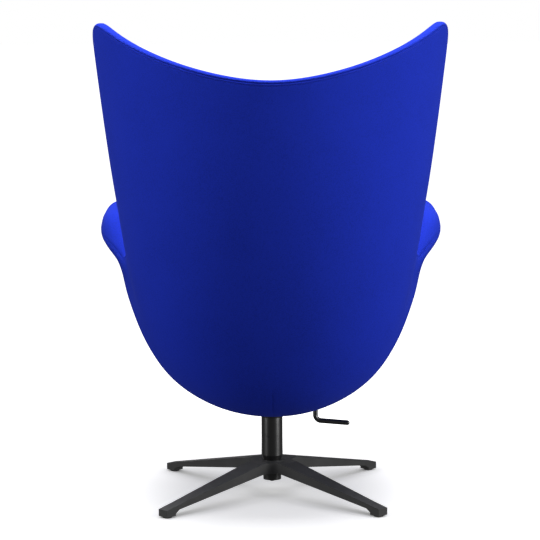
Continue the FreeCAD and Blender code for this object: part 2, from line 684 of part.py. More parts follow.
def make_housing():
    body = doc.addObject("PartDesign::Body", "mechanism_housing")
    floor = sketch_on(body, "XY_Plane", "housing_floor", HOUSING_BOTTOM)
    rectangle(floor, "-dims.housing_half_width", "dims.housing_half_width",
              "-dims.housing_front", "dims.housing_rear")
    pad(body, floor, "dims.floor_thickness")

    wall = sketch_on(body, "YZ_Plane", "housing_side", WALL_INNER)
    polygon(wall, [
        ("-dims.housing_front", HOUSING_BOTTOM),
        ("dims.housing_rear", HOUSING_BOTTOM),
        ("dims.housing_rear", REAR_WALL_TOP),
        (f"{PIVOT_Y} + dims.pivot_land", WALL_TOP),
        (f"{PIVOT_Y} - dims.pivot_land", WALL_TOP),
        ("-dims.housing_front", FRONT_WALL_TOP),
    ])
    side = pad(body, wall, "dims.housing_wall")
    other_side = body.newObject("PartDesign::Mirrored", "housing_other_side")
    other_side.Originals = [side]
    other_side.MirrorPlane = (origin_feature(body, "YZ_Plane"), [""])
    body.Tip = other_side

    front = sketch_on(body, "XY_Plane", "housing_front_wall", HOUSING_BOTTOM)
    rectangle(front, "-dims.housing_half_width", "dims.housing_half_width",
              "-dims.housing_front", "-dims.housing_front + dims.housing_wall")
    pad(body, front, f"{FRONT_WALL_TOP} - {HOUSING_BOTTOM}")
    rear = sketch_on(body, "XY_Plane", "housing_rear_wall", HOUSING_BOTTOM)
    rectangle(rear, "-dims.housing_half_width", "dims.housing_half_width",
              "dims.housing_rear - dims.housing_wall", "dims.housing_rear")
    pad(body, rear, f"{REAR_WALL_TOP} - {HOUSING_BOTTOM}")

    corners = sketch_on(body, "XY_Plane", "housing_corners", HOUSING_BOTTOM)
    for sign in ("", "-"):
        polygon(corners, [
            (f"{sign}dims.housing_half_width", "dims.housing_rear"),
            (f"{sign}(dims.housing_half_width - dims.housing_corner)", "dims.housing_rear"),
            (f"{sign}dims.housing_half_width", "dims.housing_rear - dims.housing_corner"),
        ])
    pocket_up(body, corners, "2 * dims.wall_rear_height")

    for name, low, high in (("bracket_rear", BRACKET_INNER, BRACKET_OUTER),
                            ("bracket_front", f"-{BRACKET_OUTER}", f"-{BRACKET_INNER}")):
        ear = sketch_on(body, "XY_Plane", name, f"{LEVER_Z} - dims.bracket_margin")
        rectangle(ear, f"-{BRACKET_X}", "-dims.housing_half_width", low, high)
        pad(body, ear, "2 * dims.bracket_margin")

    socket = sketch_on(body, "XY_Plane", "housing_socket", HOUSING_BOTTOM)
    circle(socket, "0", "0", "dims.socket_radius")
    pad(body, socket, "dims.socket_height")

    bore = sketch_on(body, "XY_Plane", "socket_bore", HOUSING_BOTTOM)
    circle(bore, "0", "0", "dims.cylinder_radius")
    pocket_up(body, bore, "dims.socket_height")

    pivot = sketch_on(body, "YZ_Plane", "tilt_pin_holes")
    circle(pivot, PIVOT_Y, PIVOT_Z, "dims.pin_radius")
    through_walls(body, pivot)
    lever_pivot = sketch_on(body, "XZ_Plane", "lever_pin_holes")
    circle(lever_pivot, LEVER_PIVOT_X, LEVER_Z, "dims.lever_pin_radius")
    through_walls(body, lever_pivot)

    slot = sketch_on(body, "YZ_Plane", "lever_slot", f"-({WALL_INNER})")
    circle(slot, "0", LEVER_Z, "dims.lever_radius + dims.slot_clearance")
    opening = body.newObject("PartDesign::Pocket", "lever_slot_pocket")
    opening.Profile = slot
    opening.setExpression("Length", "dims.housing_wall")
    body.Tip = opening
    return keep(body, "mechanism_housing")


def through_walls(body, sketch):
    hole = body.newObject("PartDesign::Pocket", sketch.Name + "_pocket")
    hole.Profile = sketch
    hole.setExpression("Length", "4 * dims.housing_half_width")
    across(hole)
    body.Tip = hole


def mirrored_pair(name, make):
    """The same piece on both sides of the middle plane, from a function of its side."""
    return [make(f"{name}_{word}", sign) for word, sign in (("right", -1), ("left", 1))]


def along_pin(name, sign, outer, inner, start, width):
    """A ring on the tilt pin; start counts outwards from the middle plane."""
    x = start if sign > 0 else f"-({start}) - ({width})"
    return ring(name, outer, inner, width, x, PIVOT_Y, PIVOT_Z, "X")


def make_tilt_pin():
    half = "(dims.housing_half_width + dims.pin_overhang)"
    keep(cylinder("tilt_pin", "dims.pin_radius", f"2 * {half}", f"-{half}", PIVOT_Y, PIVOT_Z, "X"),
         "tilt_pin")
    keep(group("pin_clips", mirrored_pair("pin_clip", lambda name, sign: along_pin(
        name, sign, "dims.pin_radius + dims.clip_wall", "dims.pin_radius",
        "dims.housing_half_width", "dims.clip_width"))), "pin_clips")
    keep(group("pivot_bushes", mirrored_pair("pivot_bush", lambda name, sign: along_pin(
        name, sign, BUSH_OUTER, PIN_BORE, LUG_INNER, "dims.lug_thickness"))), "pivot_bushes")


BOLT_PLACES = (
    ("dims.bolt_x", "-dims.bolt_front"),
    ("-dims.bolt_x", "-dims.bolt_front"),
    ("dims.bolt_x", "dims.bolt_rear"),
    ("-dims.bolt_x", "dims.bolt_rear"),
)
WASHER_BOTTOM = f"({PLATE_BOTTOM} - dims.bolt_washer_thickness)"
HEAD_BOTTOM = f"({WASHER_BOTTOM} - dims.bolt_head_height)"
INSERT_TOP = f"({PLATE_TOP} + dims.insert_length)"


def make_tilt_plate():
    plate = box("plate_sheet", "-dims.plate_half_width", "-dims.plate_front", PLATE_BOTTOM,
                "2 * dims.plate_half_width", "dims.plate_front + dims.plate_rear", "dims.plate_thickness")
    lug_bottom = f"({PIVOT_Z} - dims.lug_reach)"
    lugs = [box(f"plate_lug_{side}", x, f"{PIVOT_Y} - dims.lug_reach", lug_bottom, "dims.lug_thickness",
                "2 * dims.lug_reach", f"{PLATE_TOP} - {lug_bottom}")
            for side, x in (("left", LUG_INNER), ("right", f"-{LUG_OUTER}"))]
    pivot = cylinder("plate_pivot_hole", BUSH_OUTER, "2 * dims.housing_half_width",
                     "-dims.housing_half_width", PIVOT_Y, PIVOT_Z, "X")
    holes = [cylinder(f"plate_bolt_hole_{i}", "dims.bolt_radius", "dims.plate_thickness", x, y, PLATE_BOTTOM)
             for i, (x, y) in enumerate(BOLT_PLACES)]
    keep(cut("tilt_plate", fuse("plate_with_lugs", [plate] + lugs), [pivot] + holes), "tilt_plate")


def make_mounting_bolts():
    bolts = []
    washers = []
    inserts = []
    insert_outer = "(dims.bolt_radius + dims.insert_wall)"
    for number, (x, y) in enumerate(BOLT_PLACES):
        head = doc.addObject("Part::Prism", f"bolt_head_{number}")
        head.Polygon = 6
        bind(head, Circumradius="dims.bolt_head_radius", Height="dims.bolt_head_height")
        place(head, x, y, HEAD_BOTTOM)
        shank = cylinder(f"bolt_shank_{number}", "dims.bolt_radius", f"{INSERT_TOP} - {HEAD_BOTTOM}",
                         x, y, HEAD_BOTTOM)
        bolts.append(fuse(f"mount_bolt_{number}", [head, shank]))
        washers.append(ring(f"mount_washer_{number}", "dims.bolt_washer_radius", "dims.bolt_radius",
                            "dims.bolt_washer_thickness", x, y, WASHER_BOTTOM))
        inserts.append(ring(f"mount_insert_{number}", insert_outer, "dims.bolt_radius",
                            "dims.insert_length", x, y, PLATE_TOP))
    keep(group("mount_bolts", bolts), "mount_bolts")
    keep(group("mount_washers", washers), "mount_washers")
    keep(group("mount_inserts", inserts), "mount_inserts")


# Where the tilted plate's underside comes to rest over the rear wall
STOP_REACH = "(dims.housing_rear + dims.buffer_depth / 2 + dims.pivot_forward)"
TILTED_PLATE = f"({PIVOT_Z} + dims.plate_rise * cos(dims.tilt_angle) - {STOP_REACH} * sin(dims.tilt_angle))"


def make_buffers():
    front = box("front_buffer", "-dims.buffer_half_width",
                "-dims.housing_front + (dims.housing_wall - dims.buffer_depth) / 2", FRONT_WALL_TOP,
                "2 * dims.buffer_half_width", "dims.buffer_depth", "dims.buffer_height - dims.soft_gap")
    rear = box("rear_buffer", "-dims.buffer_half_width",
               "dims.housing_rear - (dims.housing_wall + dims.buffer_depth) / 2", REAR_WALL_TOP,
               "2 * dims.buffer_half_width", "dims.buffer_depth",
               f"{TILTED_PLATE} - {REAR_WALL_TOP} - 2 * dims.soft_gap")
    keep(group("tilt_buffers", [front, rear]), "tilt_buffers")


def arc_from(start, tip, end):
    """The arc from start to end whose tangents meet at tip, equally far from both."""
    middle = (start + end) * 0.5
    height = tip.sub(middle)
    half_chord = (end - start).Length / 2
    angle = math.atan2(height.Length, half_chord)
    crest = middle + height.normalize() * (half_chord * math.tan(angle / 2))
    return Part.Arc(start, crest, end).toShape()


def helix_edges(centre, radius, pitch, turns):
    """A helix about a vertical line as two arcs to the half turn."""
    def point(step):
        angle = math.pi * step
        return centre + Vector(radius * math.cos(angle), radius * math.sin(angle), pitch * step / 2)

    def heading(step):
        angle = math.pi * step
        way = Vector(-radius * math.sin(angle), radius * math.cos(angle), pitch / (2 * math.pi))
        return way.normalize()

    edges = []
    steps = int(4 * turns)
    for index in range(steps):
        start, end = point(index / 2), point((index + 1) / 2)
        go, leave = heading(index / 2), heading((index + 1) / 2)
        gap = start - end
        turn = go + leave
        square = turn.dot(turn) - 4
        slope = 2 * gap.dot(turn)
        reach = (-slope - math.sqrt(slope * slope - 4 * square * gap.dot(gap))) / (2 * square)
        first_tip, last_tip = start + go * reach, end - leave * reach
        joint = (first_tip + last_tip) * 0.5
        edges.append(arc_from(start, first_tip, joint))
        edges.append(arc_from(joint, last_tip, end))
    return edges, heading(0)


def make_tilt_springs():
    wire = size("spring_wire")
    low = value(FLOOR_TOP) + wire + size("soft_gap")
    high = value(PLATE_BOTTOM) - wire - size("soft_gap")
    turns = int(size("spring_turns"))
    pitch = (high - low) / turns
    springs = []
    for sign in (-1, 1):
        centre = Vector(sign * size("spring_x"), -size("spring_ahead"), low)
        edges, way = helix_edges(centre, size("spring_radius"), pitch, turns)
        start = edges[0].Vertexes[0].Point
        ring_wire = Part.Wire([Part.Circle(start, way, wire).toShape()])
        springs.append(Part.Wire(edges).makePipeShell([ring_wire], True, False))
    print("tilt spring: least gap between turns", round(pitch - 2 * wire, 2), "mm")
    piece = doc.addObject("Part::Feature", "tilt_springs")
    piece.Shape = Part.makeCompound(springs)
    piece.Placement = FreeCAD.Placement()
    keep(piece, "tilt_springs")


# Lever


def lever_bend(name, x, z, start_angle, sweep):
    """A bend in the plane y = 0 about x, z, from start_angle anticlockwise as seen from -Y."""
    bend = doc.addObject("Part::Torus", name)
    turn = Rotation(Vector(1, 0, 0), 90).multiply(Rotation(Vector(0, 0, 1), start_angle))
    bend.Placement = FreeCAD.Placement(Vector(), turn)
    bind(bend, Radius1="dims.lever_bend", Radius2="dims.lever_radius", Angle3=sweep)
    return place(bend, x, "0", z)


def make_lever():
    straight = "(dims.lever_drop_x - dims.lever_bend)"
    rod = cylinder("lever_straight", "dims.lever_radius", f"{straight} + dims.lever_tip",
                   f"-{straight}", "0", LEVER_Z, "X")
    upper = lever_bend("lever_upper_bend", f"-{straight}", f"{LEVER_Z} - dims.lever_bend", 90, "90")
    leg_low = f"({LEVER_Z} - dims.handle_drop + dims.lever_bend)"
    leg = cylinder("lever_leg", "dims.lever_radius", f"{LEVER_Z} - dims.lever_bend - {leg_low}",
                   "-dims.lever_drop_x", "0", leg_low)
    bend_x = "(-dims.lever_drop_x - dims.lever_bend)"
    slope = size("handle_slope")
    lower = lever_bend("lever_lower_bend", bend_x, leg_low, slope - 90, "90 - dims.handle_slope")
    handle = doc.addObject("Part::Cylinder", "lever_handle")
    handle.Placement = FreeCAD.Placement(Vector(), Rotation(Vector(0, 1, 0), -90 - slope))
    bind(handle, Radius="dims.lever_radius", Height="dims.handle_length")
    start_x = f"({bend_x} + dims.lever_bend * sin(dims.handle_slope))"
    start_z = f"({leg_low} - dims.lever_bend * cos(dims.handle_slope))"
    place(handle, start_x, "0", start_z)
    end = doc.addObject("Part::Sphere", "lever_end")
    bind(end, Radius="dims.lever_radius")
    place(end, f"{start_x} - dims.handle_length * cos(dims.handle_slope)", "0",
          f"{start_z} - dims.handle_length * sin(dims.handle_slope)")
    hole = cylinder("lever_pin_hole", "dims.lever_pin_radius + dims.running_clearance",
                    "2 * dims.lever_radius", LEVER_PIVOT_X, "-dims.lever_radius", LEVER_Z, "Y")
    bent = fuse("lever_bent", [rod, upper, leg, lower, handle, end])
    keep(cut("lever_rod", bent, [hole]), "lever_rod")
    keep(cylinder("lever_pin", "dims.lever_pin_radius", f"2 * {BRACKET_OUTER}", LEVER_PIVOT_X,
                  f"-{BRACKET_OUTER}", LEVER_Z, "Y"), "lever_pin")


# Shell surface


def natural_spline(values):
    """Second derivatives of the natural cubic spline through values at 0, 1, 2, ..."""
    count = len(values)
    bends, ratios, sums = [0.0] * count, [0.0] * count, [0.0] * count
    for i in range(1, count - 1):
        divisor = 4 - ratios[i - 1]
        ratios[i] = 1 / divisor
        sums[i] = (6 * (values[i + 1] - 2 * values[i] + values[i - 1]) - sums[i - 1]) / divisor
    for i in range(count - 2, 0, -1):
        bends[i] = sums[i] - ratios[i] * bends[i + 1]
    return bends


def spline_at(values, bends, place_along):
    i = min(max(int(place_along), 0), len(values) - 2)
    after = place_along - i
    before = 1 - after
    curve = (before ** 3 - before) * bends[i] + (after ** 3 - after) * bends[i + 1]
    return before * values[i] + after * values[i + 1] + curve / 6


def section_at(control, share):
    """Clamped cubic curve of the control points, at a share of its length parameter."""
    degree = 3
    spans = len(control) - degree
    knots = [0] * degree + list(range(spans + 1)) + [spans] * degree
    along = spans * share
    first_pole = min(int(along), spans - 1)
    points = [control[first_pole + j] for j in range(degree + 1)]
    for level in range(1, degree + 1):
        for j in range(degree, level - 1, -1):
            start = knots[first_pole + j]
            end = knots[first_pole + j + degree + 1 - level]
            mix = (along - start) / (end - start)
            points[j] = [(1 - mix) * a + mix * b for a, b in zip(points[j - 1], points[j])]
    return points[degree]


class Shell:
    """The chair's outer surface: across runs from -1 to 1, along from 0 (lip) to 1 (crown)."""

    def __init__(self):
        self.columns = []
        for column in STATION_COLUMNS:
            numbers = [size(f"{station[0]}_{column}") for station in STATIONS]
            self.columns.append((numbers, natural_spline(numbers)))
        self.last = len(STATIONS) - 1
        self.floor = value(PLATE_TOP)

    def station(self, along):
        return [spline_at(numbers, bends, along * self.last) for numbers, bends in self.columns]

    def point(self, across, along):
        spine_y, spine_z, edge_x, edge_y, edge_z, flare, roundness = self.station(along)
        flare = min(max(flare, 0), 1)
        roundness = min(max(roundness, 0), 1)
        control = []
        for crown, whole, arm in zip(CROWN_SECTION, ROUND_SECTION, ARM_SECTION):
            plain = [c + roundness * (w - c) for c, w in zip(crown, whole)]
            control.append([p + flare * (a - p) for p, a in zip(plain, arm)])
        out, up = section_at(control, abs(across))
        return Vector(math.copysign(edge_x * out, across), spine_y + (edge_y - spine_y) * up,
                      self.floor + spine_z + (edge_z - spine_z) * up)

    def slopes(self, across, along):
        """Directions of growing across and growing along."""
        step = 0.001
        right, left = min(across + step, 1), max(across - step, -1)
        high, low = min(along + step, 1), max(along - step, 0)
        sideways = self.point(right, along) - self.point(left, along)
        lengthways = self.point(across, high) - self.point(across, low)
        return sideways, lengthways

    def inward(self, across, along):
        sideways, lengthways = self.slopes(across, along)
        return sideways.cross(lengthways).normalize()

    def arm_share(self, across, along):
        """How far a place counts as the arms' edge."""
        flare = min(max(self.station(along)[5], 0), 1)
        return flare * abs(across) ** 3

    def bulge(self, across, along):
        """How far the rim stands out beyond the shell's edge."""
        return size("rim_bulge") + size("arm_bulge") * self.arm_share(across, along)

    def depth(self, across, along):
        """Thickness of all layers, from the back cover to the padding's inner face."""
        plain = size("cover_thickness") + size("core_thickness") + size("padding_thickness")
        thinning = size("crown_thinning") * max(2 * along - 1, 0) ** 4
        return plain + size("arm_padding") * self.arm_share(across, along) - thinning


def rounded(corner, u, v):
    """Moves a point of the square from -1 to 1 so that the square's corners are round."""
    side, end = corner
    power = CORNER_SHARPNESS * math.sqrt((1 - side) * (1 - 3 * end) / (side * end))
    return u * (1 - side * abs(v) ** power), v * (1 - end * abs(u) ** power * v * v)


def shell_place(u, v):
    across, level = rounded(EAR_CORNER if v > 0 else NOSE_CORNER, u, v)
    return across, (1 + level) / 2


def cushion_place(u, v):
    across, level = rounded(CUSHION_CORNER, u, v)
    waist = 1 - CUSHION_WAIST * (1 - v * v)
    middle, half = (CUSHION_REAR + CUSHION_FRONT) / 2, (CUSHION_REAR - CUSHION_FRONT) / 2
    return across * waist * CUSHION_HALF_SPAN, middle + half * level * (1 - CUSHION_WAIST * (1 - u * u))


def mount_place(u, v):
    """The patch of the shell above the mounting pad, with room around it."""
    return MOUNT_HALF_SPAN * u, MOUNT_CENTRE + MOUNT_HALF_LENGTH * v


def even_places(count):
    """Places from -1 to 1 where a clamped cubic surface is nearest to its poles."""
    spans = count - 3
    knots = [0] * 4 + list(range(1, spans)) + [spans] * 4
    return [2 * sum(knots[i + 1:i + 4]) / (3 * spans) - 1 for i in range(count)]


def sharpened(row):
    """Poles whose curve passes through the points of the row."""
    inner = range(3, len(row) - 3)
    return [row[i] * (4 / 3) - (row[i - 1] + row[i + 1]) * (1 / 6) if i in inner else row[i]
            for i in range(len(row))]


def poles_of(points):
    rows = [sharpened(row) for row in points]
    columns = [sharpened(list(column)) for column in zip(*rows)]
    return [list(row) for row in zip(*columns)]


def surface_face(poles, degree_u=3):
    counts = len(poles), len(poles[0])
    degrees = degree_u, 3
    knots = [list(range(count - degree + 1)) for count, degree in zip(counts, degrees)]
    repeats = [[degree + 1] + [1] * (len(line) - 2) + [degree + 1] for line, degree in zip(knots, degrees)]
    surface = Part.BSplineSurface()
    surface.buildFromPolesMultsKnots(poles, repeats[0], repeats[1], knots[0], knots[1],
                                     False, False, degrees[0], degrees[1])
    return surface.toShape()


def border(grid):
    """The four sides of a grid: front, right, back, left."""
    return [grid[0], [row[-1] for row in grid], grid[-1], [row[0] for row in grid]]


def closed_solid(faces):
    shell = Part.makeShell(faces)
    shell.sewShape()
    solid = Part.makeSolid(shell)
    if solid.Volume < 0:
        solid.reverse()
    return solid


class Patch:
    """Points and inward directions on a patch of the shell, for layers at any depth."""

    def __init__(self, shell, place_on, count_u, count_v):
        self.shell = shell
        self.spots = [[place_on(u, v) for u in even_places(count_u)] for v in even_places(count_v)]
        self.points = [[shell.point(*spot) for spot in row] for row in self.spots]
        self.normals = [[shell.inward(*spot) for spot in row] for row in self.spots]

    def poles(self, depth):
        """Poles of the surface that lies depth(across, along) inside the shell's surface."""
        return poles_of([[p + n * depth(*spot) for p, n, spot in zip(*rows)]
                         for rows in zip(self.points, self.normals, self.spots)])

    def outward_sides(self, bulge):
        """Steps of bulge(across, along) that leave the patch along the shell, for the four sides."""
        ways = []
        for side, (axis, sign) in enumerate(((1, -1), (0, 1), (1, 1), (0, -1))):
            points, normals, spots = (border(grid)[side] for grid in (self.points, self.normals, self.spots))
            line = []
            for i, spot in enumerate(spots):
                tangent = (points[min(i + 1, len(points) - 1)] - points[max(i - 1, 0)]).normalize()
                way = self.shell.slopes(*spot)[axis] * sign
                way = way - tangent * way.dot(tangent) - normals[i] * way.dot(normals[i])
                line.append(way.normalize())
            ways.append(line)
        front, right, back, left = ways
        for one, i, other, j in ((front, -1, right, 0), (right, -1, back, -1), (back, 0, left, -1),
                                 (left, 0, front, 0)):
            shared = (one[i] + other[j]).normalize()
            one[i] = other[j] = shared
        return [[way * bulge(*spot) for way, spot in zip(line, spots)]
                for line, spots in zip(ways, border(self.spots))]


def strips(low, high):
    """Straight side faces between the borders of two pole grids."""
    return [surface_face([a, b], 1) for a, b in zip(border(low), border(high))]


def bulged_sides(low, high, steps):
    """Side faces between the borders of two pole grids that swell by the steps."""
    faces = []
    for start, end, line in zip(border(low), border(high), steps):
        swell = [step * (4 / 3) for step in line]
        middle = [(a + b) * 0.5 + s for a, b, s in zip(start, end, swell)]
        near = [a + s for a, s in zip(start, swell)]
        far = [b + s for b, s in zip(end, swell)]
        faces.append(surface_face([start, near, middle, far, end]))
    return faces


def feature(label, shape):
    piece = doc.addObject("Part::Feature", label)
    piece.Shape = shape
    piece.Placement = FreeCAD.Placement()
    return keep(piece, label)


def make_shell():
    shell = Shell()
    patch = Patch(shell, shell_place, POLE_COUNT_ACROSS, POLE_COUNT_ALONG)
    cover, core = size("cover_thickness"), size("core_thickness")
    depths = (lambda a, b: 0, lambda a, b: cover, lambda a, b: cover + core, shell.depth)
    layers = [patch.poles(depth) for depth in depths]
    faces = [surface_face(poles) for poles in layers]
    sides = [strips(low, high) for low, high in zip(layers, layers[1:])]
    solids = [closed_solid([faces[i], faces[i + 1]] + sides[i]) for i in range(3)]
    roll = bulged_sides(layers[0], layers[3], patch.outward_sides(shell.bulge))
    rim = closed_solid(sum(sides, []) + roll)

    pad_block = mount_block("0")
    local = Patch(shell, mount_place, CUSHION_POLE_COUNT, CUSHION_POLE_COUNT)
    above = local.poles(lambda a, b: cover + size("pad_block"))
    above_core = closed_solid(slab_faces(local.poles(depths[1]), above))
    holes = [insert_hole(x, y) for x, y in BOLT_PLACES]
    feature("mount_pad", pad_block.cut([above_core] + holes))
    feature("back_cover", solids[0].cut(mount_block("dims.cutout_clearance")))
    feature("shell_core", solids[1])
    feature("inner_padding", solids[2])
    feature("rim_band", rim)
    make_cushion(shell)


def slab_faces(low, high):
    return [surface_face(low), surface_face(high)] + strips(low, high)


def mount_block(margin):
    """The mounting pad's block, from the tilt plate up into the shell, wider by a margin."""
    half = value(f"dims.pad_half_width + {margin}")
    front, rear = value(f"dims.pad_front + {margin}"), value(f"dims.pad_rear + {margin}")
    corner = Vector(-half, -front, value(PLATE_TOP))
    return Part.makeBox(2 * half, front + rear, size("pad_block"), corner)


def insert_hole(x, y):
    radius = value("dims.bolt_radius + dims.insert_wall")
    return Part.makeCylinder(radius, size("insert_length"), Vector(value(x), value(y), value(PLATE_TOP)))


def make_cushion(shell):
    patch = Patch(shell, cushion_place, CUSHION_POLE_COUNT, CUSHION_POLE_COUNT)
    half_along = (CUSHION_REAR - CUSHION_FRONT) / 2
    centre = (CUSHION_REAR + CUSHION_FRONT) / 2

    def bottom(across, along):
        return shell.depth(across, along) + size("soft_gap")

    def top(across, along):
        u, v = across / CUSHION_HALF_SPAN, (along - centre) / half_along
        crown = max(1 - u * u, 0) * max(1 - v * v, 0)
        swell = size("cushion_crown") - size("cushion_edge")
        return bottom(across, along) + size("cushion_edge") + swell * crown ** CUSHION_FULLNESS

    low, high = patch.poles(bottom), patch.poles(top)
    sides = bulged_sides(low, high, patch.outward_sides(lambda a, b: size("cushion_bulge")))
    feature("seat_cushion", closed_solid([surface_face(low), surface_face(high)] + sides))


def check_document():
    doc.recompute()
    failed = [piece.Name for piece in doc.Objects if {"Invalid", "Error"} & set(piece.State)]
    failed += [piece.Label for piece in subparts if piece.Shape.isNull() or not piece.Shape.isValid()]
    if failed:
        raise RuntimeError("failed: " + ", ".join(failed))


def write_parts():
    os.makedirs("parts", exist_ok=True)
    for piece in subparts:
        piece.Shape.exportStep(f"parts/{piece.Label}.step")


make_base()
make_column()
make_gas_lift()
make_thrust_bearing()
make_housing()
make_tilt_pin()
make_tilt_plate()
make_mounting_bolts()
make_buffers()
make_tilt_springs()
make_lever()
make_shell()
check_document()
write_parts()
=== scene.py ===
"""Looks of the swivel lounge chair: wool upholstery, cast base and mechanism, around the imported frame."""

import math

import bmesh
import bpy
import numpy as np
from mathutils import Matrix, Vector
from mathutils.bvhtree import BVHTree


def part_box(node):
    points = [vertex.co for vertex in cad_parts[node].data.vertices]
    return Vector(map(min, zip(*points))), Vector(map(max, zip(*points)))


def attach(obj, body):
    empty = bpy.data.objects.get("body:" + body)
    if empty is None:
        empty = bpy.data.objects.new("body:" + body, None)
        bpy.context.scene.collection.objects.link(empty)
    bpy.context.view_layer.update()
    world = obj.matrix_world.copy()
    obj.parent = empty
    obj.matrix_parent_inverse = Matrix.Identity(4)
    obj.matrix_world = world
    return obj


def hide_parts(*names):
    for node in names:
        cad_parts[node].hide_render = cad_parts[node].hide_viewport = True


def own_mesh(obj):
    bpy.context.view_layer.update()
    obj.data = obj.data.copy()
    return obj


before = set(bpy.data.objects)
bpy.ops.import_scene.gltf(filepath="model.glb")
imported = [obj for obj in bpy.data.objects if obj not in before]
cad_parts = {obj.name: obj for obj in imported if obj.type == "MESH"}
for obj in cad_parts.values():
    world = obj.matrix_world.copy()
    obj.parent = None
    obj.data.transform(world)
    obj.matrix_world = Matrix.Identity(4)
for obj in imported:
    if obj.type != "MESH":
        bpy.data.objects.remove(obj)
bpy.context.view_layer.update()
MM = 0.001
TINY = 1e-9

# Shell form in millimetres, with heights above the tilt plate, from the front lip to the crown:
# spine y, spine z, edge x, edge y, edge z, then the shares of flare and roundness
STATIONS = (
    (-384, 98, 346, -332, 344, 1, 1),
    (-225, 56, 384, -245, 389, 1, 1),
    (-70, 25, 393, -135, 383, 1, 1),
    (80, -3, 386.5, -35, 368, 0.9, 1),
    (228, -15.5, 339.5, 50, 332.5, 0.35, 1),
    (330, 91, 337, 82, 371, 0.05, 0.9),
    (376, 298, 361, 94, 515, 0, 0.6),
    (392, 523, 384, 100, 690, 0, 0.3),
    (394, 739, 405, 108, 874, 0, 0),
)
EDGE_Z, FLARE, ROUNDNESS = 4, 5, 6

# Control points of the shell's half sections: shares of the way out to the edge and up to it
CROWN_SECTION = ((0, 0), (0.111, 0), (0.333, 0.09), (0.667, 0.378), (0.91, 0.74), (1, 1))
ROUND_SECTION = ((0, 0), (0.17, 0), (0.46, 0.06), (0.81, 0.33), (0.98, 0.73), (1, 1))
ARM_SECTION = ((0, 0), (0.17, 0), (0.48, 0.10), (0.815, 0.345), (0.88, 0.745), (1, 1))

# Round corners, as shares taken off the side and off the end
EAR_CORNER = (0.035, 0.013)
NOSE_CORNER = (0.13, 0.06)
CUSHION_CORNER = (0.09, 0.08)
CORNER_SHARPNESS = 0.9

# Layers, and how far the rim stands out beyond them: less from CROWN_START on, more at the arms
COVER_THICKNESS = 10 * MM
CORE_THICKNESS = 6 * MM
PADDING_THICKNESS = 30 * MM
ARM_PADDING = 14 * MM
CROWN_THINNING = 24 * MM
RIM_BULGE = 10 * MM
CROWN_BULGE = 7 * MM
CROWN_START = 0.95
ARM_BULGE = 18 * MM

# Notch in the edge between the arm and the wing: its place and width as shares of the way along
# the shell, and its depth in millimetres
WAIST = 0.5
NOTCH_WIDTH = 0.035
NOTCH_DEPTH = 10.5

# Soft foam under the arms' edge: a swell, and a hollow below it.
# Each has a height, a distance from the edge and a reach
ARM_SWELL = (9.8 * MM, 16 * MM, 39 * MM)
ARM_HOLLOW = (-5.4 * MM, 80 * MM, 58 * MM)
LIP_FADE = 0.1

# Loose seat cushion, in shares of the shell and in metres
CUSHION_HALF_SPAN = 0.55
CUSHION_FRONT = 0.035
CUSHION_REAR = 0.40
CUSHION_MIDDLE = (CUSHION_REAR + CUSHION_FRONT) / 2
CUSHION_HALF_LENGTH = (CUSHION_REAR - CUSHION_FRONT) / 2
CUSHION_WAIST = 0.035
CUSHION_FULLNESS = 0.6
CUSHION_CROWN = 125 * MM
CUSHION_EDGE = 42 * MM
CUSHION_BULGE = 14 * MM
SOFT_GAP = 0.3 * MM

# Meshes of the upholstery: even steps, and finer ones beside the middle and the notch, in metres.
# Even steps keep a share of their size away from the finer ones
COLUMN_COUNT = 110
ROW_COUNT = 150
FINE_STEPS = (1.5 * MM, 3 * MM, 5 * MM, 8 * MM)
FINE_ROOM = 0.3
CROWN_WIDTH = 0.95
SWEEP = np.linspace(-1, 1, 4001)


# Shell surface


def unit(vectors):
    return vectors / np.linalg.norm(vectors, axis=-1, keepdims=True)


def dot(a, b):
    return (a * b).sum(-1)


def lengths_along(points):
    """Length of a line of points up to each of them."""
    return np.concatenate(([0], np.cumsum(np.linalg.norm(np.diff(points, axis=0), axis=1))))


def natural_bends(values):
    """Second derivatives of the natural cubic splines through rows of values at 0, 1, 2, ..."""
    system = np.eye(len(values))
    known = np.zeros_like(values)
    for i in range(1, len(values) - 1):
        system[i, i - 1:i + 2] = 1, 4, 1
        known[i] = 6 * (values[i + 1] - 2 * values[i] + values[i - 1])
    return np.linalg.solve(system, known)


def cubic_weights(share, count):
    """Weights of the control points of a clamped cubic curve, at shares of its parameter."""
    spans = count - 3
    knots = [0] * 3 + list(range(spans + 1)) + [spans] * 3
    spot = np.minimum(share, 1 - TINY) * spans
    weights = [((low <= spot) & (spot < high)).astype(float) for low, high in zip(knots, knots[1:])]
    for degree in (1, 2, 3):
        raised = []
        for i in range(len(weights) - 1):
            rise = max(knots[i + degree] - knots[i], TINY)
            fall = max(knots[i + degree + 1] - knots[i + 1], TINY)
            raised.append((spot - knots[i]) / rise * weights[i]
                          + (knots[i + degree + 1] - spot) / fall * weights[i + 1])
        weights = raised
    return np.stack(weights, -1)


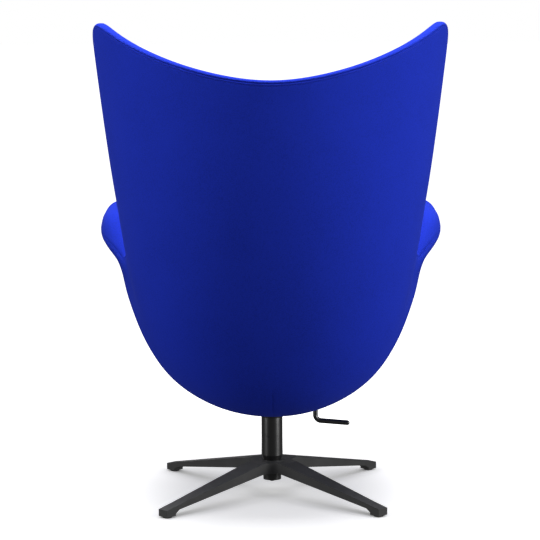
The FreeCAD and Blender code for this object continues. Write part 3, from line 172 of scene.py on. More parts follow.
class Shell:
    """The chair's outer surface in metres: across runs from -1 to 1, along from 0 (lip) to 1 (crown)."""

    def __init__(self):
        self.values = np.array(STATIONS, float)
        self.bends = natural_bends(self.values)
        self.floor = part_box("tilt_plate")[1].z

    def station(self, along):
        spot = np.clip(along, 0, 1) * (len(self.values) - 1)
        i = np.minimum(spot.astype(int), len(self.values) - 2)
        after = (spot - i)[..., None]
        before = 1 - after
        curve = (before ** 3 - before) * self.bends[i] + (after ** 3 - after) * self.bends[i + 1]
        values = before * self.values[i] + after * self.values[i + 1] + curve / 6
        values[..., EDGE_Z] -= NOTCH_DEPTH * np.exp(-((along - WAIST) / NOTCH_WIDTH) ** 2)
        return values

    def point(self, across, along):
        station = self.station(along)
        spine_y, spine_z, edge_x, edge_y, edge_z = (station[..., k] * MM for k in range(FLARE))
        flare, roundness = (np.clip(station[..., k:k + 1], 0, 1) for k in (FLARE, ROUNDNESS))
        weights = cubic_weights(np.abs(across), len(CROWN_SECTION))
        poles = np.array((CROWN_SECTION, ROUND_SECTION, ARM_SECTION))
        crown, whole, arm = (weights @ part for part in poles)
        plain = crown + roundness * (whole - crown)
        section = plain + flare * (arm - plain)
        out, up = section[..., 0], section[..., 1]
        return np.stack((np.sign(across) * edge_x * out, spine_y + (edge_y - spine_y) * up,
                         self.floor + spine_z + (edge_z - spine_z) * up), -1)

    def slopes(self, across, along):
        """Change of the point with across and with along."""
        step = 0.001
        right, left = np.minimum(across + step, 1), np.maximum(across - step, -1)
        high, low = np.minimum(along + step, 1), np.maximum(along - step, 0)
        sideways = (self.point(right, along) - self.point(left, along)) / (right - left)[..., None]
        lengthways = (self.point(across, high) - self.point(across, low)) / (high - low)[..., None]
        return sideways, lengthways

    def inward(self, across, along):
        return unit(np.cross(*self.slopes(across, along)))

    def arm_share(self, across, along):
        """How far places count as the arms' edge."""
        return np.clip(self.station(along)[..., FLARE], 0, 1) * np.abs(across) ** 3

    def bulge(self, across, along):
        """How far the rim stands out beyond the shell's edge."""
        crown = np.clip((along - CROWN_START) / (1 - CROWN_START), 0, 1)
        plain = RIM_BULGE + (CROWN_BULGE - RIM_BULGE) * crown
        return plain + ARM_BULGE * self.arm_share(across, along)

    def softness(self, across, along, beyond=0):
        """How far the foam under the arms' edge stands out, also at a distance beyond the edge."""
        flare = np.clip(self.station(along)[..., FLARE], 0, 1) * np.clip(along / LIP_FADE, 0, 1)
        below = (1 - np.abs(across)) * np.linalg.norm(self.slopes(across, along)[0], axis=-1) - beyond
        return flare * sum(height * np.cos(np.clip((below - place) / reach, -1, 1) * math.pi / 2) ** 2
                           for height, place, reach in (ARM_SWELL, ARM_HOLLOW))

    def depth(self, across, along):
        """Thickness of all layers, from the back cover to the padding's inner face."""
        plain = COVER_THICKNESS + CORE_THICKNESS + PADDING_THICKNESS
        thinning = CROWN_THINNING * np.maximum(2 * along - 1, 0) ** 4
        return plain + ARM_PADDING * self.arm_share(across, along) - thinning

    def layer(self, places, depth):
        """Points at a depth below the places, which are rows of across and along."""
        across, along = places[..., 0], places[..., 1]
        return self.point(across, along) + self.inward(across, along) * np.asarray(depth)[..., None]


shell = Shell()


def rounded(side, end, u, v):
    """Moves points of the square from -1 to 1 so that the square's corners are round."""
    power = CORNER_SHARPNESS * np.sqrt((1 - side) * (1 - 3 * end) / (side * end))
    return u * (1 - side * np.abs(v) ** power), v * (1 - end * np.abs(u) ** power * v * v)


def shell_place(u, v):
    side, end = (np.where(v > 0, ear, nose) for ear, nose in zip(EAR_CORNER, NOSE_CORNER))
    across, level = rounded(side, end, u, v)
    return np.stack((across, (1 + level) / 2), -1)


def cushion_place(u, v):
    across, level = rounded(*CUSHION_CORNER, u, v)
    waist = 1 - CUSHION_WAIST * (1 - v * v)
    length = CUSHION_HALF_LENGTH * (1 - CUSHION_WAIST * (1 - u * u))
    return np.stack((across * waist * CUSHION_HALF_SPAN, CUSHION_MIDDLE + level * length), -1)


# Grids and rings on the shell


def with_fine_steps(count, centre, length):
    """Even shares of a length, from 0 to 1, with finer ones around a centre."""
    even = np.linspace(0, 1, count + 1)
    fine = [centre + sign * step / length for step in FINE_STEPS for sign in (-1, 1)] + [centre]
    apart = even[np.min(np.abs(even[:, None] - np.array(fine)), axis=1) > FINE_ROOM / count]
    return np.sort(np.concatenate((apart, fine)))


def border_side(u, v):
    """Places along one side of the shell's border, and the side's length up to each."""
    places = shell_place(u, v)
    return places, lengths_along(shell.point(*places.T))


def share_of_waist():
    """Share of the border's side at which the notch is, and the side's length."""
    places, lengths = border_side(np.ones_like(SWEEP), SWEEP)
    return np.interp(WAIST, places[:, 1], lengths) / lengths[-1], lengths[-1]


def side_places(u, v, shares):
    """Places on one side of the shell's border, at shares of its length."""
    places, lengths = border_side(u, v)
    spots = shares * lengths[-1]
    return np.stack([np.interp(spots, lengths, column) for column in places.T], -1)


def border_loop(column_shares, row_shares):
    """Places around the shell's border in the order front, right, back, left."""
    edge = np.ones_like(SWEEP)
    front = side_places(SWEEP, -edge, column_shares)
    back = side_places(SWEEP, edge, column_shares)
    right = side_places(edge, SWEEP, row_shares)
    left = side_places(-edge, SWEEP, row_shares)
    return np.concatenate((front[:-1], right[:-1], back[:0:-1], left[:0:-1]))


COLUMN_SHARES = with_fine_steps(COLUMN_COUNT, 0.5, CROWN_WIDTH)
ROW_SHARES = with_fine_steps(ROW_COUNT, *share_of_waist())
BORDER = border_loop(COLUMN_SHARES, ROW_SHARES)


def loop_frame(places):
    """Points of a closed loop, the shell's inward way there, and the surface's way out of the loop."""
    points = shell.point(*places.T)
    inward = shell.inward(*places.T)
    run = np.roll(points, -1, 0) - np.roll(points, 1, 0)
    return points, inward, unit(np.cross(run, inward))


def step_in(places, distance):
    """A closed loop of places moved inwards over the surface."""
    sideways, lengthways = shell.slopes(*places.T)
    move = -distance * loop_frame(places)[2]
    a, b, c = dot(sideways, sideways), dot(sideways, lengthways), dot(lengthways, lengthways)
    p, q = dot(sideways, move), dot(lengthways, move)
    return places + np.stack((c * p - b * q, a * q - b * p), -1) / (a * c - b * b)[..., None]


def filled(ring):
    """Grid of places inside a ring of places."""
    columns, rows = len(COLUMN_SHARES) - 1, len(ROW_SHARES) - 1
    closed = np.concatenate((ring, ring[:1]))
    front = closed[:columns + 1]
    right = closed[columns:columns + rows + 1]
    back = closed[columns + rows:2 * columns + rows + 1][::-1]
    left = closed[2 * columns + rows:][::-1]
    s = COLUMN_SHARES[None, :, None]
    t = ROW_SHARES[:, None, None]
    ruled = (1 - t) * front + t * back + (1 - s) * left[:, None] + s * right[:, None]
    corners = ((1 - t) * ((1 - s) * front[0] + s * front[-1]) + t * ((1 - s) * back[0] + s * back[-1]))
    return ruled - corners


def ring_of(grid):
    """The border of a grid, in the order front, right, back, left."""
    return np.concatenate((grid[0, :-1], grid[:-1, -1], grid[-1, :0:-1], grid[:0:-1, 0]))


def hoops(line, across, rise, radius, sides):
    """Rings of points around each point of a line, from two ways that stand across it."""
    turns = np.linspace(0, 2 * math.pi, sides, endpoint=False)[:, None]
    ways = np.cos(turns) * across[..., None, :] + np.sin(turns) * rise[..., None, :]
    return line[..., None, :] + np.asarray(radius)[..., None, None] * ways


class Builder:
    """Collects the points and faces of one mesh."""

    def __init__(self):
        self.points = []
        self.faces = []
        self.count = 0

    def add(self, points):
        """Adds points and returns their numbers in the same layout."""
        flat = points.reshape(-1, 3)
        numbers = np.arange(self.count, self.count + len(flat)).reshape(points.shape[:-1])
        self.points.append(flat)
        self.count += len(flat)
        return numbers

    def bridge(self, a, b):
        """Faces between two closed rows of as many points."""
        self.faces += np.stack((a, np.roll(a, -1), np.roll(b, -1), b), -1).tolist()

    def fill(self, grid):
        quads = np.stack((grid[:-1, :-1], grid[:-1, 1:], grid[1:, 1:], grid[1:, :-1]), -1)
        self.faces += quads.reshape(-1, 4).tolist()

    def tube(self, rows):
        """A ring-shaped skin of closed rows, the last joined to the first."""
        for row, after in zip(rows, np.roll(rows, -1, 0)):
            self.bridge(row, after)

    def rod(self, rings):
        """A skin of rings with a flat face at either end."""
        for ring, after in zip(rings, rings[1:]):
            self.bridge(ring, after)
        self.faces += [rings[0].tolist(), rings[-1].tolist()]

    def mesh(self, name):
        mesh = bpy.data.meshes.new(name)
        mesh.from_pydata(np.concatenate(self.points).tolist(), [], self.faces)
        work = bmesh.new()
        work.from_mesh(mesh)
        bmesh.ops.recalc_face_normals(work, faces=work.faces)
        work.to_mesh(mesh)
        work.free()
        mesh.shade_smooth()
        return mesh


def coat(mesh, material):
    """Gives a mesh one material."""
    mesh.materials.clear()
    mesh.materials.append(material)


def link(name, mesh, material):
    piece = bpy.data.objects.new(name, mesh)
    bpy.context.scene.collection.objects.link(piece)
    coat(mesh, material)
    return piece


def evaluated_mesh(piece):
    graph = bpy.context.evaluated_depsgraph_get()
    return bpy.data.meshes.new_from_object(piece.evaluated_get(graph))


# Finishes

# Range that a noise pattern mostly keeps to
NOISE_REACH = (0.3, 0.7)


class Finish:
    """A Principled material: uniform values on its own sockets, detail from procedural nodes."""

    def __init__(self, name, **values):
        self.material = bpy.data.materials.new(name)
        self.material.use_nodes = True
        self.tree = self.material.node_tree
        self.shader = self.tree.nodes["Principled BSDF"]
        for key, number in values.items():
            socket = key.replace("_", " ").title().replace("Ior", "IOR")
            self.shader.inputs[socket].default_value = number
        self.space = self.add("ShaderNodeTexCoord").outputs["Object"]

    def feed(self, socket, given):
        """Links a socket to another one, or sets its value."""
        if isinstance(given, bpy.types.NodeSocket):
            self.tree.links.new(given, socket)
        else:
            socket.default_value = given

    def add(self, kind, settings=None, **inputs):
        node = self.tree.nodes.new(kind)
        for key, setting in (settings or {}).items():
            setattr(node, key, setting)
        for key, given in inputs.items():
            self.feed(node.inputs[key.replace("_", " ").title()], given)
        return node

    def stretched(self, scale, location=(0, 0, 0)):
        node = self.add("ShaderNodeMapping", vector=self.space, scale=scale, location=location)
        return node.outputs["Vector"]

    def noise(self, per_metre, detail=3.0, vector=None):
        node = self.add("ShaderNodeTexNoise", vector=vector or self.space, scale=per_metre, detail=detail)
        return node.outputs["Fac"]

    def cells(self, per_metre):
        return self.add("ShaderNodeTexVoronoi", vector=self.space, scale=per_metre).outputs["Distance"]

    def sum(self, first, second, share):
        """First plus a share of second."""
        node = self.add("ShaderNodeMath", {"operation": "MULTIPLY_ADD"})
        for socket, given in zip(node.inputs, (second, share, first)):
            self.feed(socket, given)
        return node.outputs["Value"]

    def spread(self, pattern, reach, limits, blend="LINEAR"):
        """The pattern's reach, spread over other limits."""
        node = self.add("ShaderNodeMapRange", {"interpolation_type": blend}, value=pattern,
                        from_min=reach[0], from_max=reach[1], to_min=limits[0], to_max=limits[1])
        return node.outputs["Result"]

    def colour(self, pattern, low, high, reach=NOISE_REACH):
        """Colours the surface from low to high as the pattern goes over its reach."""
        ramp = self.add("ShaderNodeValToRGB", fac=pattern)
        for stop, place, tone in zip(ramp.color_ramp.elements, reach, (low, high)):
            stop.position = place
            stop.color = (*tone, 1)
        self.feed(self.shader.inputs["Base Color"], ramp.outputs["Color"])

    def roughness(self, pattern, low, high):
        self.feed(self.shader.inputs["Roughness"], self.spread(pattern, NOISE_REACH, (low, high)))

    def bump(self, pattern, strength, distance):
        node = self.add("ShaderNodeBump", strength=strength, distance=distance, height=pattern)
        self.feed(self.shader.inputs["Normal"], node.outputs["Normal"])


def shade(colour, factor):
    return tuple(min(channel * factor, 1) for channel in colour)


WOOL_BLUE = (0.0165, 0.042, 0.60)


def wool(name, tone):
    """Fulled wool: short matted fibres, a soft sheen and slightly uneven dye."""
    finish = Finish(name, roughness=0.9, sheen_weight=0.08, sheen_roughness=0.5,
                    sheen_tint=(0.4, 0.5, 1.0, 1), specular_ior_level=0.05)
    fibre = finish.noise(1400, detail=4)
    patch = finish.noise(9, detail=2)
    finish.colour(finish.sum(finish.sum(finish.noise(420), fibre, 0.6), patch, 0.25),
                  shade(tone, 0.82), shade(tone, 1.2), (0.55, 1.2))
    finish.bump(finish.sum(fibre, finish.cells(700), 0.5), 0.4, 0.4 * MM)
    return finish.material


def thread(name, tone):
    finish = Finish(name, roughness=0.65, sheen_weight=0.2, sheen_roughness=0.3)
    twist = finish.noise(2500, detail=2)
    finish.colour(twist, shade(tone, 0.75), shade(tone, 1.25))
    finish.bump(twist, 0.3, 0.1 * MM)
    return finish.material


def powder_coat(name, tone, low, high):
    """Fine orange peel with a few duller patches."""
    finish = Finish(name, specular_ior_level=0.5)
    peel = finish.noise(900, detail=2)
    finish.colour(finish.noise(14), shade(tone, 0.85), shade(tone, 1.15))
    finish.roughness(finish.noise(30), low, high)
    finish.bump(peel, 0.3, 0.3 * MM)
    return finish.material


def gloss_paint(name, tone):
    finish = Finish(name, coat_weight=0.6, coat_roughness=0.3, specular_ior_level=0.6)
    finish.colour(finish.noise(20), shade(tone, 0.9), shade(tone, 1.15))
    finish.roughness(finish.noise(45, detail=5), 0.26, 0.34)
    finish.bump(finish.noise(260), 0.04, 0.1 * MM)
    return finish.material


def moulded_plastic(name, tone):
    finish = Finish(name, specular_ior_level=0.45)
    grain = finish.cells(1800)
    finish.colour(finish.noise(60), shade(tone, 0.85), shade(tone, 1.2))
    finish.roughness(finish.noise(120), 0.38, 0.52)
    finish.bump(grain, 0.15, 0.08 * MM)
    return finish.material


def plated_steel(name, tone):
    """Zinc or nickel plate with faint drawing marks."""
    finish = Finish(name, metallic=1.0)
    marks = finish.noise(40, vector=finish.stretched((60, 60, 4)))
    finish.colour(finish.noise(70), shade(tone, 0.85), shade(tone, 1.1))
    finish.roughness(marks, 0.18, 0.34)
    finish.bump(marks, 0.08, 0.05 * MM)
    return finish.material


def rubber(name, tone):
    finish = Finish(name, specular_ior_level=0.3)
    finish.colour(finish.noise(200), shade(tone, 0.8), shade(tone, 1.25))
    finish.roughness(finish.noise(90), 0.7, 0.85)
    finish.bump(finish.noise(1500), 0.2, 0.1 * MM)
    return finish.material


def stained_plywood(name, tone):
    """Dark stained plies, with the grain along the block."""
    finish = Finish(name, specular_ior_level=0.35)
    grain = finish.noise(30, detail=6, vector=finish.stretched((6, 1, 30)))
    finish.colour(grain, shade(tone, 0.6), shade(tone, 1.6))
    finish.roughness(grain, 0.45, 0.65)
    finish.bump(grain, 0.25, 0.3 * MM)
    return finish.material


def moulded_shell(name, tone):
    finish = Finish(name, specular_ior_level=0.4)
    strands = finish.noise(60, detail=5, vector=finish.stretched((1, 3, 3)))
    finish.colour(strands, shade(tone, 0.8), shade(tone, 1.15))
    finish.roughness(strands, 0.4, 0.6)
    finish.bump(strands, 0.15, 0.2 * MM)
    return finish.material


BLACK = (0.022, 0.022, 0.023)
WOOL = wool("blue_wool", WOOL_BLUE)
THREAD = thread("blue_thread", shade(WOOL_BLUE, 1.4))
CAST_COAT = powder_coat("black_cast_coat", (0.085, 0.085, 0.085), 0.46, 0.56)
STEEL_COAT = powder_coat("black_steel_coat", BLACK, 0.32, 0.42)
COLUMN_PAINT = gloss_paint("black_column_paint", (0.006, 0.006, 0.006))
PLASTIC = moulded_plastic("black_plastic", (0.016, 0.016, 0.017))
BRIGHT = plated_steel("bright_steel", (0.66, 0.66, 0.65))
RUBBER = rubber("black_rubber", (0.02, 0.02, 0.02))
PLYWOOD = stained_plywood("stained_plywood", (0.02, 0.017, 0.015))
LAMINATE = moulded_shell("moulded_laminate", (0.5, 0.42, 0.3))

NODE_FINISHES = {
    CAST_COAT: ("base_casting",),
    COLUMN_PAINT: ("column_tube", "gas_cylinder", "lever_rod"),
    STEEL_COAT: ("mechanism_housing", "tilt_plate"),
    PLASTIC: ("guide_bush", "valve_button", "bearing_cage", "pivot_bushes", "foot_glides"),
    BRIGHT: ("glide_screws", "piston_rod", "rod_clip", "lower_thrust_washer", "bearing_balls",
             "upper_thrust_washer", "tilt_pin", "pin_clips", "lever_pin", "mount_bolts", "mount_washers",
             "mount_inserts"),
    RUBBER: ("height_stop", "tilt_buffers"),
    PLYWOOD: ("mount_pad",),
    LAMINATE: ("shell_core",),
}


def finish_nodes():
    for material, names in NODE_FINISHES.items():
        for name in names:
            coat(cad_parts[name].data, material)


# Upholstery

# Rows beside the border: distance from it and height of the fabric there, in millimetres
OUTER_SEAM = (
    (0, -2.4), (1.0, -0.6), (2.4, 0.7), (3.8, 0.2),
    (5.0, -1.1), (6.2, -0.3), (8.5, 0.1), (13, 0),
)
INNER_SEAM = ((0, -2.4), (1.4, -0.7), (3.2, 0), (7, 0.3), (13, 0))
STITCHED_ROW = 4
CORE_GAP = 1 * MM

# Strength of the outer seam at the sides and at the arms, where the crown's full seam begins and
# is complete along the shell, and how far across it reaches
SIDE_SEAM = 0.35
ARM_SEAM = 0.1
CROWN_SEAM_ENDS = (0.9, 0.95)
CROWN_SEAM_REACH = 0.6

# Slow unevenness of stretched fabric: waves in radians per metre along x, y and z, and their phases
FABRIC_WAVES = ((31, 0, 17, 0), (0, -13, 23, 2), (11, 41, 0, 1))
UNEVENNESS = 0.35 * MM

# Dart at the tail: its ends along the shell, how it fades there, and its depth and width
DART_ENDS = (0.535, 0.605)
DART_FADES = (0.012, 0.02)
DART_DEPTH = 1.3 * MM
DART_WIDTH = 2.5 * MM
WAIST_SEAM_DEPTH = 2.2 * MM
WAIST_SEAM_WIDTH = 3.5 * MM

# Roll of the rim: angle at which it starts, steps over it, and the power of its sine away from the
# arms, where a lower power is squarer. Beside the seams the fabric is tucked in
ROLL_START = 0.16
ROLL_STEPS = 19
ROLL_POWER = 0.75
SEAM_DEPTH = 2.0 * MM
TUCK_SHARE = 0.4
TUCK_RISE = 1.2 * MM

# Stitches, and one stitch from end to end: share of its length, then width and lift in radii
STITCH_LENGTH = 4.2 * MM
STITCH_GAP = 1.6 * MM
STITCH_RADIUS = 0.45 * MM
STITCH_SIDES = 6
STITCH_FORM = (
    (-0.5, 0.15, -0.9), (-0.42, 0.7, -0.2), (-0.2, 1, 0.25),
    (0.2, 1, 0.25), (0.42, 0.7, -0.2), (0.5, 0.15, -0.9),
)
MOUNT_ROOM = 1.5 * MM


def waves(points):
    """Unevenness of the fabric, from -1 to 1."""
    return np.mean([np.sin(points @ np.array(way) + phase) for *way, phase in FABRIC_WAVES], axis=0)


def crease(distance, depth, width):
    return -depth * np.exp(-(distance / width) ** 2)


def back_relief(places, points):
    """The arms' soft foam, and a short sewn dart in the middle where the back turns under the seat."""
    across, along = np.moveaxis(places, -1, 0)
    opening = np.clip((along - DART_ENDS[0]) / DART_FADES[0], 0, 1)
    closing = np.clip((DART_ENDS[1] - along) / DART_FADES[1], 0, 1)
    dart = opening * closing * crease(points[..., 0], DART_DEPTH, DART_WIDTH)
    return shell.softness(across, along) + dart


def waist_seam(places, points):
    """Seam between the seat and the back, from notch to notch."""
    across, along = np.moveaxis(places, -1, 0)
    lengthways = np.linalg.norm(shell.slopes(across, along)[1], axis=-1)
    return crease((along - WAIST) * lengthways, WAIST_SEAM_DEPTH, WAIST_SEAM_WIDTH)


def outer_strength(places):
    """How deep the outer seam is: fully along the crown, less at the ears and sides, least at the arms."""
    across, along = np.moveaxis(places, -1, 0)
    start, full = CROWN_SEAM_ENDS
    crown = np.exp(-(across / CROWN_SEAM_REACH) ** 4) * np.clip((along - start) / (full - start), 0, 1)
    return SIDE_SEAM + (1 - SIDE_SEAM) * crown - (SIDE_SEAM - ARM_SEAM) * shell.arm_share(across, along)


def even_strength(places):
    return np.ones(places.shape[:-1])


def skin(name, seam_rows, strength, depth_of, outwards, back_depth, detail):
    """A closed layer of upholstery: seam rows along the border, a grid inside them, and a back face."""
    build = Builder()
    ring, gone, rows = BORDER, 0, []
    for distance, height in seam_rows:
        ring = step_in(ring, (distance - gone) * MM)
        gone = distance
        rows.append((ring, height * MM * strength(ring) + detail(ring, shell.point(*ring.T))))
    inside = filled(ring)
    surface = shell.point(*np.moveaxis(inside, -1, 0))
    heights = UNEVENNESS * waves(surface) + detail(inside, surface)

    numbers = [build.add(shell.layer(places, depth_of(places) + outwards * height))
               for places, height in rows[:-1]]
    face = build.add(shell.layer(inside, depth_of(inside) + outwards * heights))
    back = build.add(shell.layer(inside, np.full(inside.shape[:-1], back_depth)))
    back_edge = build.add(shell.layer(BORDER, np.full(len(BORDER), back_depth)))
    for row, after in zip(numbers, numbers[1:] + [ring_of(face)]):
        build.bridge(row, after)
    build.fill(face)
    build.fill(back)
    build.bridge(ring_of(back), back_edge)
    build.bridge(back_edge, numbers[0])
    piece = link(name, build.mesh(name), WOOL)
    return piece, rows


def outer_depth(places):
    return np.zeros(places.shape[:-1])


def inner_depth(places):
    return shell.depth(places[..., 0], places[..., 1])


def make_rim():
    """The sewn edge: a roll of padded fabric between the outer and the inner seam."""
    points, inward, way = loop_frame(BORDER)
    thick = inner_depth(BORDER)[:, None]
    bulge = shell.bulge(*BORDER.T)[:, None]
    steps = np.linspace(ROLL_START, math.pi - ROLL_START, ROLL_STEPS)
    power = ROLL_POWER + (1 - ROLL_POWER) * shell.arm_share(*BORDER.T)[:, None]
    roll = [(thick * (1 - math.cos(a)) / 2, bulge * math.sin(a) ** power) for a in steps]
    outer_seam = SEAM_DEPTH * outer_strength(BORDER)[:, None]
    profile = [(outer_seam, 0), (TUCK_SHARE * outer_seam, TUCK_RISE)] + roll
    profile += [(thick - TUCK_SHARE * SEAM_DEPTH, TUCK_RISE), (thick - SEAM_DEPTH, 0)]
    rows = []
    for below, out in profile:
        soft = shell.softness(*BORDER.T, np.ravel(below + out))
        rows.append(points + inward * (below - soft[:, None]) + way * out)
    build = Builder()
    build.tube(build.add(np.stack(rows)))
    return link("rim_roll", build.mesh("rim_roll"), WOOL)


def stitches(name, path, up):
    """Separate stitches along a closed path of points, lying in the fabric."""
    closed = np.concatenate((path, path[:1]))
    lengths = lengths_along(closed)
    count = int(lengths[-1] / (STITCH_LENGTH + STITCH_GAP))
    shares, widths, lifts = np.array(STITCH_FORM).T
    middles = (np.arange(count) + 0.5) * lengths[-1] / count
    spots = middles[:, None] + shares * STITCH_LENGTH
    line = np.stack([np.interp(spots, lengths, axis) for axis in closed.T], -1)
    rise = unit(np.stack([np.interp(spots, lengths[:-1], axis) for axis in up.T], -1))
    across = unit(np.cross(np.gradient(line, axis=1), rise))
    lifted = line + rise * lifts[:, None] * STITCH_RADIUS
    build = Builder()
    for rings in build.add(hoops(lifted, across, rise, widths * STITCH_RADIUS, STITCH_SIDES)):
        build.rod(rings)
    return link(name, build.mesh(name), THREAD)


def cut_for_mount(piece):
    """Opens the cover where the mounting pad goes through to the moulded shell."""
    low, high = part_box("mount_pad")
    room = Vector((1, 1, 1)) * MOUNT_ROOM
    cutter_mesh = bpy.data.meshes.new("mount_cutter")
    work = bmesh.new()
    bmesh.ops.create_cube(work, size=1)
    bmesh.ops.scale(work, vec=high - low + 2 * room, verts=work.verts)
    bmesh.ops.translate(work, vec=(low + high) / 2, verts=work.verts)
    work.to_mesh(cutter_mesh)
    work.free()
    cutter = link("mount_cutter", cutter_mesh, WOOL)
    opening = piece.modifiers.new("mount opening", "BOOLEAN")
    opening.operation = "DIFFERENCE"
    opening.solver = "EXACT"
    opening.object = cutter
    mesh = evaluated_mesh(piece)
    piece.modifiers.clear()
    piece.data = mesh
    bpy.data.objects.remove(cutter)


def upholster(piece, fill, *nodes):
    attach(piece, "seat")
    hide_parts(*nodes)


def make_upholstery():
    outer, rows = skin("back_upholstery", OUTER_SEAM, outer_strength, outer_depth, -1,
                       COVER_THICKNESS - CORE_GAP, back_relief)
    cut_for_mount(outer)
    upholster(outer, 1.0, "back_cover")
    inner, _ = skin("inside_upholstery", INNER_SEAM, even_strength, inner_depth, 1,
                    COVER_THICKNESS + CORE_THICKNESS + CORE_GAP, waist_seam)
    upholster(inner, 0.9, "inner_padding")
    upholster(make_rim(), 0.9, "rim_band")
    seam_places, seam_height = rows[STITCHED_ROW]
    path = shell.layer(seam_places, -seam_height)
    sewn = stitches("rim_stitching", path, -shell.inward(*seam_places.T))
    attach(sewn, "seat")


# Seat cushion

# The cushion's mesh, and the seam drawn in around its top
CUSHION_CELLS = 48
CUSHION_SIDE_SHARES = (0.2, 0.4, 0.6, 0.8)
CUSHION_SEAM_DEPTH = 3 * MM
CUSHION_SEAM_WIDTH = 9 * MM

# Filled cloth: how far it may swell, its mesh, what is held to the seat, and the simulation
SWELL = 9 * MM
VOXEL = 6 * MM
HELD_REACH = 0.6 * VOXEL
PRESSURE = 4
BENDING_STIFFNESS = 2
CLOTH_FRAMES = 20

# Piping: how far its middle stands off the cloth, in radii, and how often its path is smoothed
PIPING_RADIUS = 3.2 * MM
PIPING_SIDES = 10
PIPING_LIFT = 0.3
PIPING_SMOOTHINGS = 4


def cushion_depths(places, swell):
    """Depths of the cushion's underside and top below the shell's outside."""
    across, along = places[..., 0], places[..., 1]
    u, v = across / CUSHION_HALF_SPAN, (along - CUSHION_MIDDLE) / CUSHION_HALF_LENGTH
    bottom = shell.depth(across, along) + SOFT_GAP
    crown = np.maximum(1 - u * u, 0) * np.maximum(1 - v * v, 0)
    height = CUSHION_EDGE + (CUSHION_CROWN - CUSHION_EDGE) * crown ** CUSHION_FULLNESS
    return bottom, bottom + height - swell


def cushion_form(swell):
    """The cushion's closed mesh, smaller by the swell to come, its underside alone, and its upper seam."""
    sweep = np.linspace(-1, 1, CUSHION_CELLS + 1)
    places = cushion_place(*np.meshgrid(sweep, sweep))
    bottom, top = cushion_depths(places, swell)
    build = Builder()
    under = build.add(shell.layer(places, bottom))
    over = build.add(shell.layer(places, top))
    loop = ring_of(places)
    base, inward, way = loop_frame(loop)
    low, high = (ring_of(depths)[:, None] for depths in (bottom, top))
    rows = [ring_of(under)]
    for share in CUSHION_SIDE_SHARES:
        out = (CUSHION_BULGE - swell) * math.sin(math.pi * share)
        rows.append(build.add(base + inward * (low + share * (high - low)) + way * out))
    rows.append(ring_of(over))
    for row, after in zip(rows, rows[1:]):
        build.bridge(row, after)
    build.fill(under)
    build.fill(over)
    points = np.concatenate(build.points)
    underside = BVHTree.FromPolygons(points.tolist(), [f for f in build.faces if max(f) <= under.max()])
    seam = shell.layer(loop, ring_of(top) + swell)
    return build.mesh("seat_cushion"), underside, seam


def applied(piece, kind, **settings):
    """The mesh of a piece with one more modifier applied."""
    modifier = piece.modifiers.new(kind.lower(), kind)
    for key, setting in settings.items():
        setattr(modifier, key, setting)
    mesh = evaluated_mesh(piece)
    piece.modifiers.clear()
    return mesh


def inflate(piece, underside):
    """Swells the piece as filled cloth, held where it rests on the seat."""
    piece.data = applied(piece, "REMESH", mode="VOXEL", voxel_size=VOXEL)
    rest = np.array([v.co for v in piece.data.vertices])
    held = [i for i, co in enumerate(rest) if underside.find_nearest(co)[3] < HELD_REACH]
    piece.vertex_groups.new(name="held").add(held, 1.0, "REPLACE")
    cloth = piece.modifiers.new("cloth", "CLOTH")
    cloth.settings.vertex_group_mass = "held"
    cloth.settings.use_pressure = True
    cloth.settings.uniform_pressure_force = PRESSURE
    cloth.settings.effector_weights.gravity = 0
    cloth.settings.bending_stiffness = BENDING_STIFFNESS
    for number in range(1, CLOTH_FRAMES + 1):
        bpy.context.scene.frame_set(number)
    mesh = evaluated_mesh(piece)
    piece.modifiers.clear()
    bpy.context.scene.frame_set(1)
    moved = np.array([v.co for v in mesh.vertices]) - rest
    length = np.linalg.norm(moved, axis=1, keepdims=True)
    capped = rest + moved * np.minimum(1, SWELL / np.maximum(length, TINY))
    mesh.vertices.foreach_set("co", capped.ravel())
    piece.data = mesh


def draw_in(mesh, seam):
    """Pulls the cloth in along its seam."""
    tree = BVHTree.FromPolygons(seam.tolist(), [(i, (i + 1) % len(seam), i) for i in range(len(seam))])
    for vertex in mesh.vertices:
        distance = tree.find_nearest(vertex.co)[3]
        vertex.co += vertex.normal * float(crease(distance, CUSHION_SEAM_DEPTH, CUSHION_SEAM_WIDTH))


def piping(name, path, ways):
    """A closed fabric-covered cord sewn into a seam."""
    run = unit(np.roll(path, -1, 0) - np.roll(path, 1, 0))
    out = unit(ways - run * dot(ways, run)[:, None])
    build = Builder()
    build.tube(build.add(hoops(path, out, np.cross(run, out), PIPING_RADIUS, PIPING_SIDES)).T)
    return link(name, build.mesh(name), WOOL)


def make_cushion():
    swell = SWELL
    mesh, underside, seam = cushion_form(swell)
    cushion = link("loose_cushion", mesh, WOOL)
    inflate(cushion, underside)
    draw_in(cushion.data, seam)
    cushion.data = applied(cushion, "SUBSURF", levels=1, render_levels=1)
    cushion.vertex_groups.clear()
    coat(cushion.data, WOOL)
    cushion.data.shade_smooth()
    upholster(cushion, 0.8, "seat_cushion")

    surface = BVHTree.FromObject(cushion, bpy.context.evaluated_depsgraph_get())
    hits = [surface.find_nearest(point) for point in seam]
    path = np.array([hit[0] for hit in hits])
    ways = np.array([hit[1] for hit in hits])
    for _ in range(PIPING_SMOOTHINGS):
        path = (np.roll(path, 1, 0) + 2 * path + np.roll(path, -1, 0)) / 4
    edge = piping("cushion_piping", path + unit(ways) * PIPING_LIFT * PIPING_RADIUS, ways)
    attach(edge, "seat")


# Tilt springs

SPRING_TURNS = 6
STEPS_PER_TURN = 24
SPRING_SIDES = 10
SPRING_WIRE = 1.4 * MM


